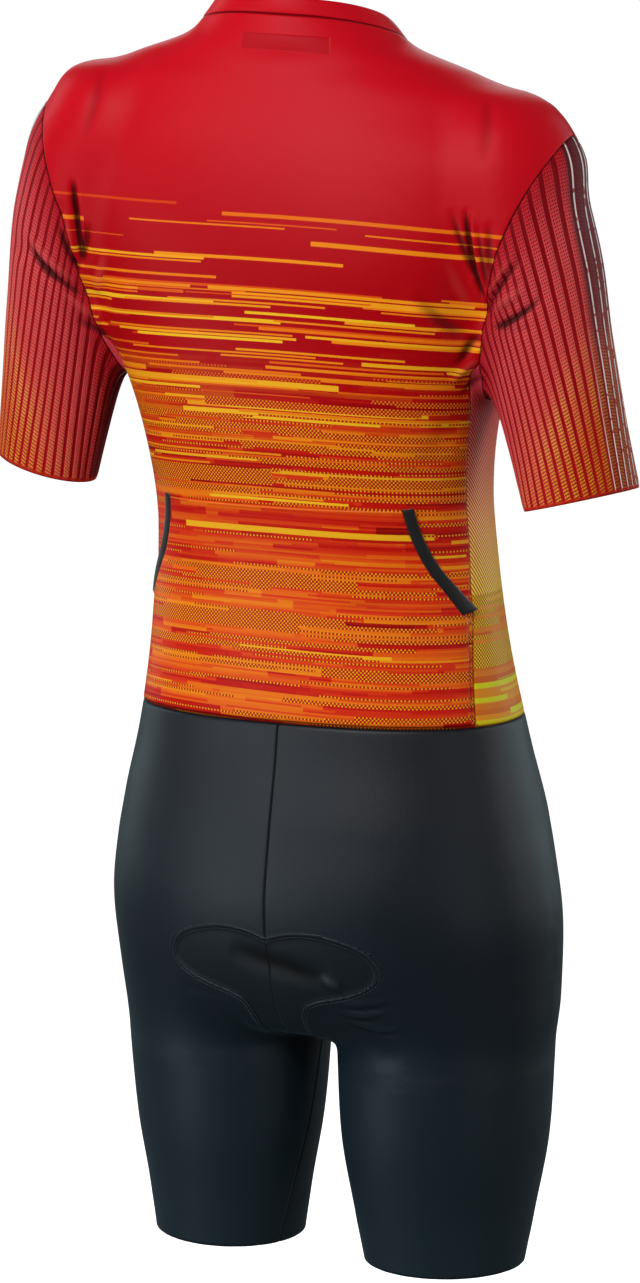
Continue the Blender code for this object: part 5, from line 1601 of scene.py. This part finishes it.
def make_seat_pad(finish):
    """The pad inside the seat: a slab under the shorts, with two channels along it."""
    turns = split_lines([PAD_PARTS] * (len(PAD_OUTLINE["turn"]) - 1))
    number = np.arange(len(PAD_OUTLINE["turn"]))
    turn = np.interp(turns, number, PAD_OUTLINE["turn"])
    half_width = np.interp(turns, number, PAD_OUTLINE["half_width"])
    share = np.linspace(-1, 1, PAD_COLUMNS)
    grid = []
    for a, w in zip(turn, half_width):
        guess = midline_point(a) + np.stack([share * w, 0 * share, 0 * share], -1)
        grid.append(settle(lower_field, guess, 12, 0.006))
    grid = np.array(grid)
    crown = np.sin(np.linspace(0, pi, len(turn)))[:, None]**0.5 * np.cos(share * pi / 2)[None]
    from_channel = (np.abs(share)[None] - PAD_CHANNEL_AT) / PAD_CHANNEL_REACH
    channel = np.exp(-from_channel**2) * np.clip(crown * 3, 0, 1)
    body = PAD_EDGE + PAD_CROWN * crown - PAD_CHANNEL * channel
    out = normals(lower_field, grid)
    outer = stance(grid - out * PAD_DEPTH_IN)
    inner = stance(grid - out * (PAD_DEPTH_IN + body)[..., None])
    r, c = grid.shape[:2]
    verts = np.concatenate([outer.reshape(-1, 3), inner.reshape(-1, 3)])
    faces = []
    for i in range(r - 1):
        for j in range(c - 1):
            a, b = i * c + j, i * c + j + 1
            d, e = a + c, b + c
            faces += [(a, b, e, d), (r * c + a, r * c + d, r * c + e, r * c + b)]
    rim = [j for j in range(c)] + [i * c + c - 1 for i in range(1, r)]
    rim += [(r - 1) * c + j for j in range(c - 2, -1, -1)] + [i * c for i in range(r - 2, 0, -1)]
    faces += [(a, r * c + a, r * c + b, b) for a, b in zip(rim, rim[1:] + rim[:1])]
    pad = add_mesh("seat_pad_foam", verts, faces, [finish])
    made = np.stack([lengths(grid, 1), lengths(grid, 0), 0 * crown], -1).reshape(-1, 3)
    both = np.concatenate([made, made])
    loops = np.array([v for f in faces for v in f])
    write_corners(pad.data, "place", both[loops])
    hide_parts("seat_pad")


ZIP_COLUMNS = 9
ZIP_TEETH = 376
TOOTH_LENGTH = 2.6 * MM
TOOTH_RADIUS = 0.42 * MM
# in millimetres: how far each tooth stands off the tape, and leans to its own side
TOOTH_LIFT = 0.35
TOOTH_LEAN = 0.55


def make_zip(finish, teeth_finish, front):
    """The closed zip's tape between the fronts and through the collar, and its coil."""
    fronts = front[:, 0]
    top = outward(trunk_field, (ZIP_HALF_WIDTH, -0.01, fronts[0, 2] + COLLAR_HEIGHT), (0, -1.0, 0))
    neck = top + (fronts[0] - top) * np.linspace(0, 1, 9)[:-1, None]
    edge = np.concatenate([neck, fronts])
    share = np.linspace(-1, 1, ZIP_COLUMNS)
    grid = np.array([[(p[0] * s, p[1], p[2]) for s in share] for p in edge])
    place = np.stack([grid[..., 0], grid[..., 2], 0 * grid[..., 0]], -1)
    tape = shell("zip_tape", "zip", grid, trunk_field, [finish], JERSEY_WALL, place,
                 edge_vector(grid, ("first", "last")), 0.1 * MM + 0 * grid[..., 0])
    middle = even(grid[:, ZIP_COLUMNS // 2], ZIP_TEETH)
    out = normals(trunk_field, middle)
    run = np.gradient(middle, axis=0)
    lean = np.where(np.arange(len(middle)) % 2 == 0, 1.0, -1.0)[:, None]
    across = unit(np.cross(run, out))
    centre = middle + out * TOOTH_LIFT * MM + across * lean * TOOTH_LEAN * MM
    posed = stance(centre)
    bars("zip_teeth", posed, stance(centre + across * MM) - posed, stance(centre + out * MM) - posed,
         TOOTH_LENGTH, TOOTH_RADIUS, teeth_finish, "zip_plastic")
    return tape


# pitch, length and radius of a stitch
PAD_STITCH = (2.6 * MM, 1.9 * MM, 0.22 * MM)
SEAM_STITCH = (2.8 * MM, 2.0 * MM, 0.20 * MM)
PAD_STITCH_INSETS = (0.2 * MM, 3.6 * MM)
PAD_STITCH_LIFT = 0.15 * MM


def make_stitches(finish, shorts, leg_from):
    """Cover stitches of the pad, the front centre seam and the inseams."""
    lines = [pad_line(inset) for inset in PAD_STITCH_INSETS]
    stitches("pad_stitches", lines, *PAD_STITCH, finish, PAD_STITCH_LIFT)
    seams = []
    for sign in (1, -1):
        own = both_sides(shorts, lower_field, sign)
        seams.append(own[2:leg_from, -2])
        seams.append(own[leg_from:-1, 1])
    stitches("seam_stitches", seams, *SEAM_STITCH, finish)


# ---- build ----
red = printed_knit("printed_knit")
pocket_red = printed_knit("pocket_knit", on_pocket=True)
pale = plain_knit("jersey_inside", srgb(214, 150, 140), srgb(226, 176, 164))
dark = plain_knit("shorts_inside", srgb(20, 24, 28), srgb(34, 38, 42))
black = plain_knit("binding_black", srgb(10, 10, 11), srgb(22, 22, 24), 0.62, 0.3, 0.7 * MM)
foam = plain_knit("pad_cover", srgb(52, 54, 60), srgb(70, 72, 78), 0.85, 0.5, 1.4 * MM)
tape_black = plain_knit("zip_tape_black", srgb(14, 14, 15), srgb(26, 26, 28), 0.6, 0.3, 0.7 * MM)
thread_dark = thread("thread_dark", srgb(26, 32, 40), srgb(58, 66, 76))
coil = thread("zip_coil", srgb(14, 14, 15), srgb(40, 40, 42))

jersey, back_grid, front_grid, side_grid = make_jersey(red, side_knit(), pale)
sleeves = make_sleeves(rib_knit(), pale)
collar = make_collar(red, pale)
shorts, shorts_fine, leg_row = make_shorts(shorts_knit(), dark, back_grid, front_grid, side_grid)
pockets = make_pocket(pocket_red, black, pale)
make_seat_pad(foam)
zip_tape = make_zip(tape_black, coil, front_grid)
make_stitches(thread_dark, shorts_fine, leg_row)

metal = metal_finish()
for node_name in ("zip_slider", "zip_pull"):
    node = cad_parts[node_name]
    node.data.materials.clear()
    node.data.materials.append(metal)


# ---- stage: floor, lights and camera ----
FLOOR_HALF = 9
FLOOR_HEIGHT = -1.5


def make_stage():
    mesh = bpy.data.meshes.new("floor")
    corners = [(x * FLOOR_HALF, y * FLOOR_HALF, FLOOR_HEIGHT)
               for x, y in ((-1, -1), (1, -1), (1, 1), (-1, 1))]
    mesh.from_pydata(corners, [], [(0, 1, 2, 3)])
    floor = bpy.data.objects.new("floor", mesh)
    f = Finish("floor_white", roughness=0.9)
    at = f.node("ShaderNodeTexCoord", {}).outputs["Object"]
    f.colour(f.mix(f.noise(at, 3.0, 2.0), (0.90, 0.90, 0.90), (0.93, 0.93, 0.93)))
    f.shader.inputs["Emission Color"].default_value = (1, 1, 1, 1)
    f.shader.inputs["Emission Strength"].default_value = 1.0
    mesh.materials.append(f.material)
    bpy.context.scene.collection.objects.link(floor)
    floor.visible_diffuse = floor.visible_glossy = False


CAMERA_TURN = 26.5
CAMERA_AWAY = 2.8
CAMERA_DIP = 9.1
PHOTO_SIZE = (640, 1283)
FOCAL_PIXELS = 3890.0
CENTRE_OFFSET = 9.0


def make_camera():
    turn, dip = radians(CAMERA_TURN), radians(CAMERA_DIP)
    back = np.array((-sin(turn), cos(turn), 0.0))
    right = np.array((-cos(turn), -sin(turn), 0.0))
    ahead = -back * cos(dip) + np.array((0, 0, -sin(dip)))
    up = np.cross(right, ahead)
    data = bpy.data.cameras.new("camera")
    data.sensor_width = 36.0
    data.lens = FOCAL_PIXELS / PHOTO_SIZE[1] * data.sensor_width
    data.shift_x = CENTRE_OFFSET / PHOTO_SIZE[1]
    data.clip_start, data.clip_end = 0.05, 60
    camera = bpy.data.objects.new("camera", data)
    camera.matrix_world = Matrix([[right[k], up[k], -ahead[k], (back * CAMERA_AWAY)[k]] for k in range(3)]
                                 + [[0, 0, 0, 1]])
    bpy.context.scene.collection.objects.link(camera)
    bpy.context.scene.camera = camera
    return back, right


def add_light(name, place, target, size, power, colour):
    data = bpy.data.lights.new(name, "AREA")
    data.shape = "RECTANGLE"
    data.size, data.size_y = size
    data.energy = power
    data.color = colour
    light = bpy.data.objects.new(name, data)
    away = np.asarray(place, float) - np.asarray(target, float)
    away /= np.linalg.norm(away)
    side = np.cross((0, 0, 1.0), away)
    side /= np.linalg.norm(side)
    up = np.cross(away, side)
    light.matrix_world = Matrix([[side[k], up[k], away[k], place[k]] for k in range(3)] + [[0, 0, 0, 1]])
    bpy.context.scene.collection.objects.link(light)


WHITE = (1, 1, 1)
COOL = (0.75, 0.96, 1.0)
# name, place in metres (towards the camera, to the picture's right, up), height of the target,
# width and height of the panel, power, colour
LIGHTS = (
    ("key", (2.0, -1.2, 1.1), -0.40, (1.0, 1.2), 50, WHITE),
    ("fill", (2.2, 1.6, -0.5), -0.40, (0.8, 1.4), 7, WHITE),
    ("strip", (1.0, -1.9, -0.7), -0.70, (0.4, 1.4), 16, (0.85, 0.96, 1.0)),
    ("flank", (0.1, 2.3, 0.1), -0.40, (0.5, 1.6), 14, WHITE),
    ("rim_left", (-1.3, -1.7, 0.1), -0.40, (0.5, 2.0), 11, COOL),
    ("rim_right", (-1.2, 1.8, 0.1), -0.40, (0.5, 2.0), 12, COOL),
    ("front", (-2.4, 0.0, 0.9), -0.40, (1.6, 1.8), 16, WHITE),
)


def make_lights(back, right):
    for name, (near, aside, above), height, size, power, colour in LIGHTS:
        place = back * near + right * aside + np.array((0, 0, 1.0)) * above
        add_light(name, place, (0, 0, height), size, power, colour)
    world = bpy.data.worlds.new("studio")
    bpy.context.scene.world = world
    world.use_nodes = True
    nodes, links = world.node_tree.nodes, world.node_tree.links
    background = nodes["Background"]
    seen = nodes.new("ShaderNodeLightPath")
    bright = nodes.new("ShaderNodeMapRange")
    bright.inputs["To Min"].default_value = 0.10
    bright.inputs["To Max"].default_value = 1.0
    links.new(seen.outputs["Is Camera Ray"], bright.inputs["Value"])
    background.inputs["Color"].default_value = (1, 1, 1, 1)
    links.new(bright.outputs["Result"], background.inputs["Strength"])


make_stage()
make_lights(*make_camera())
bpy.context.scene.view_settings.view_transform = "Standard"
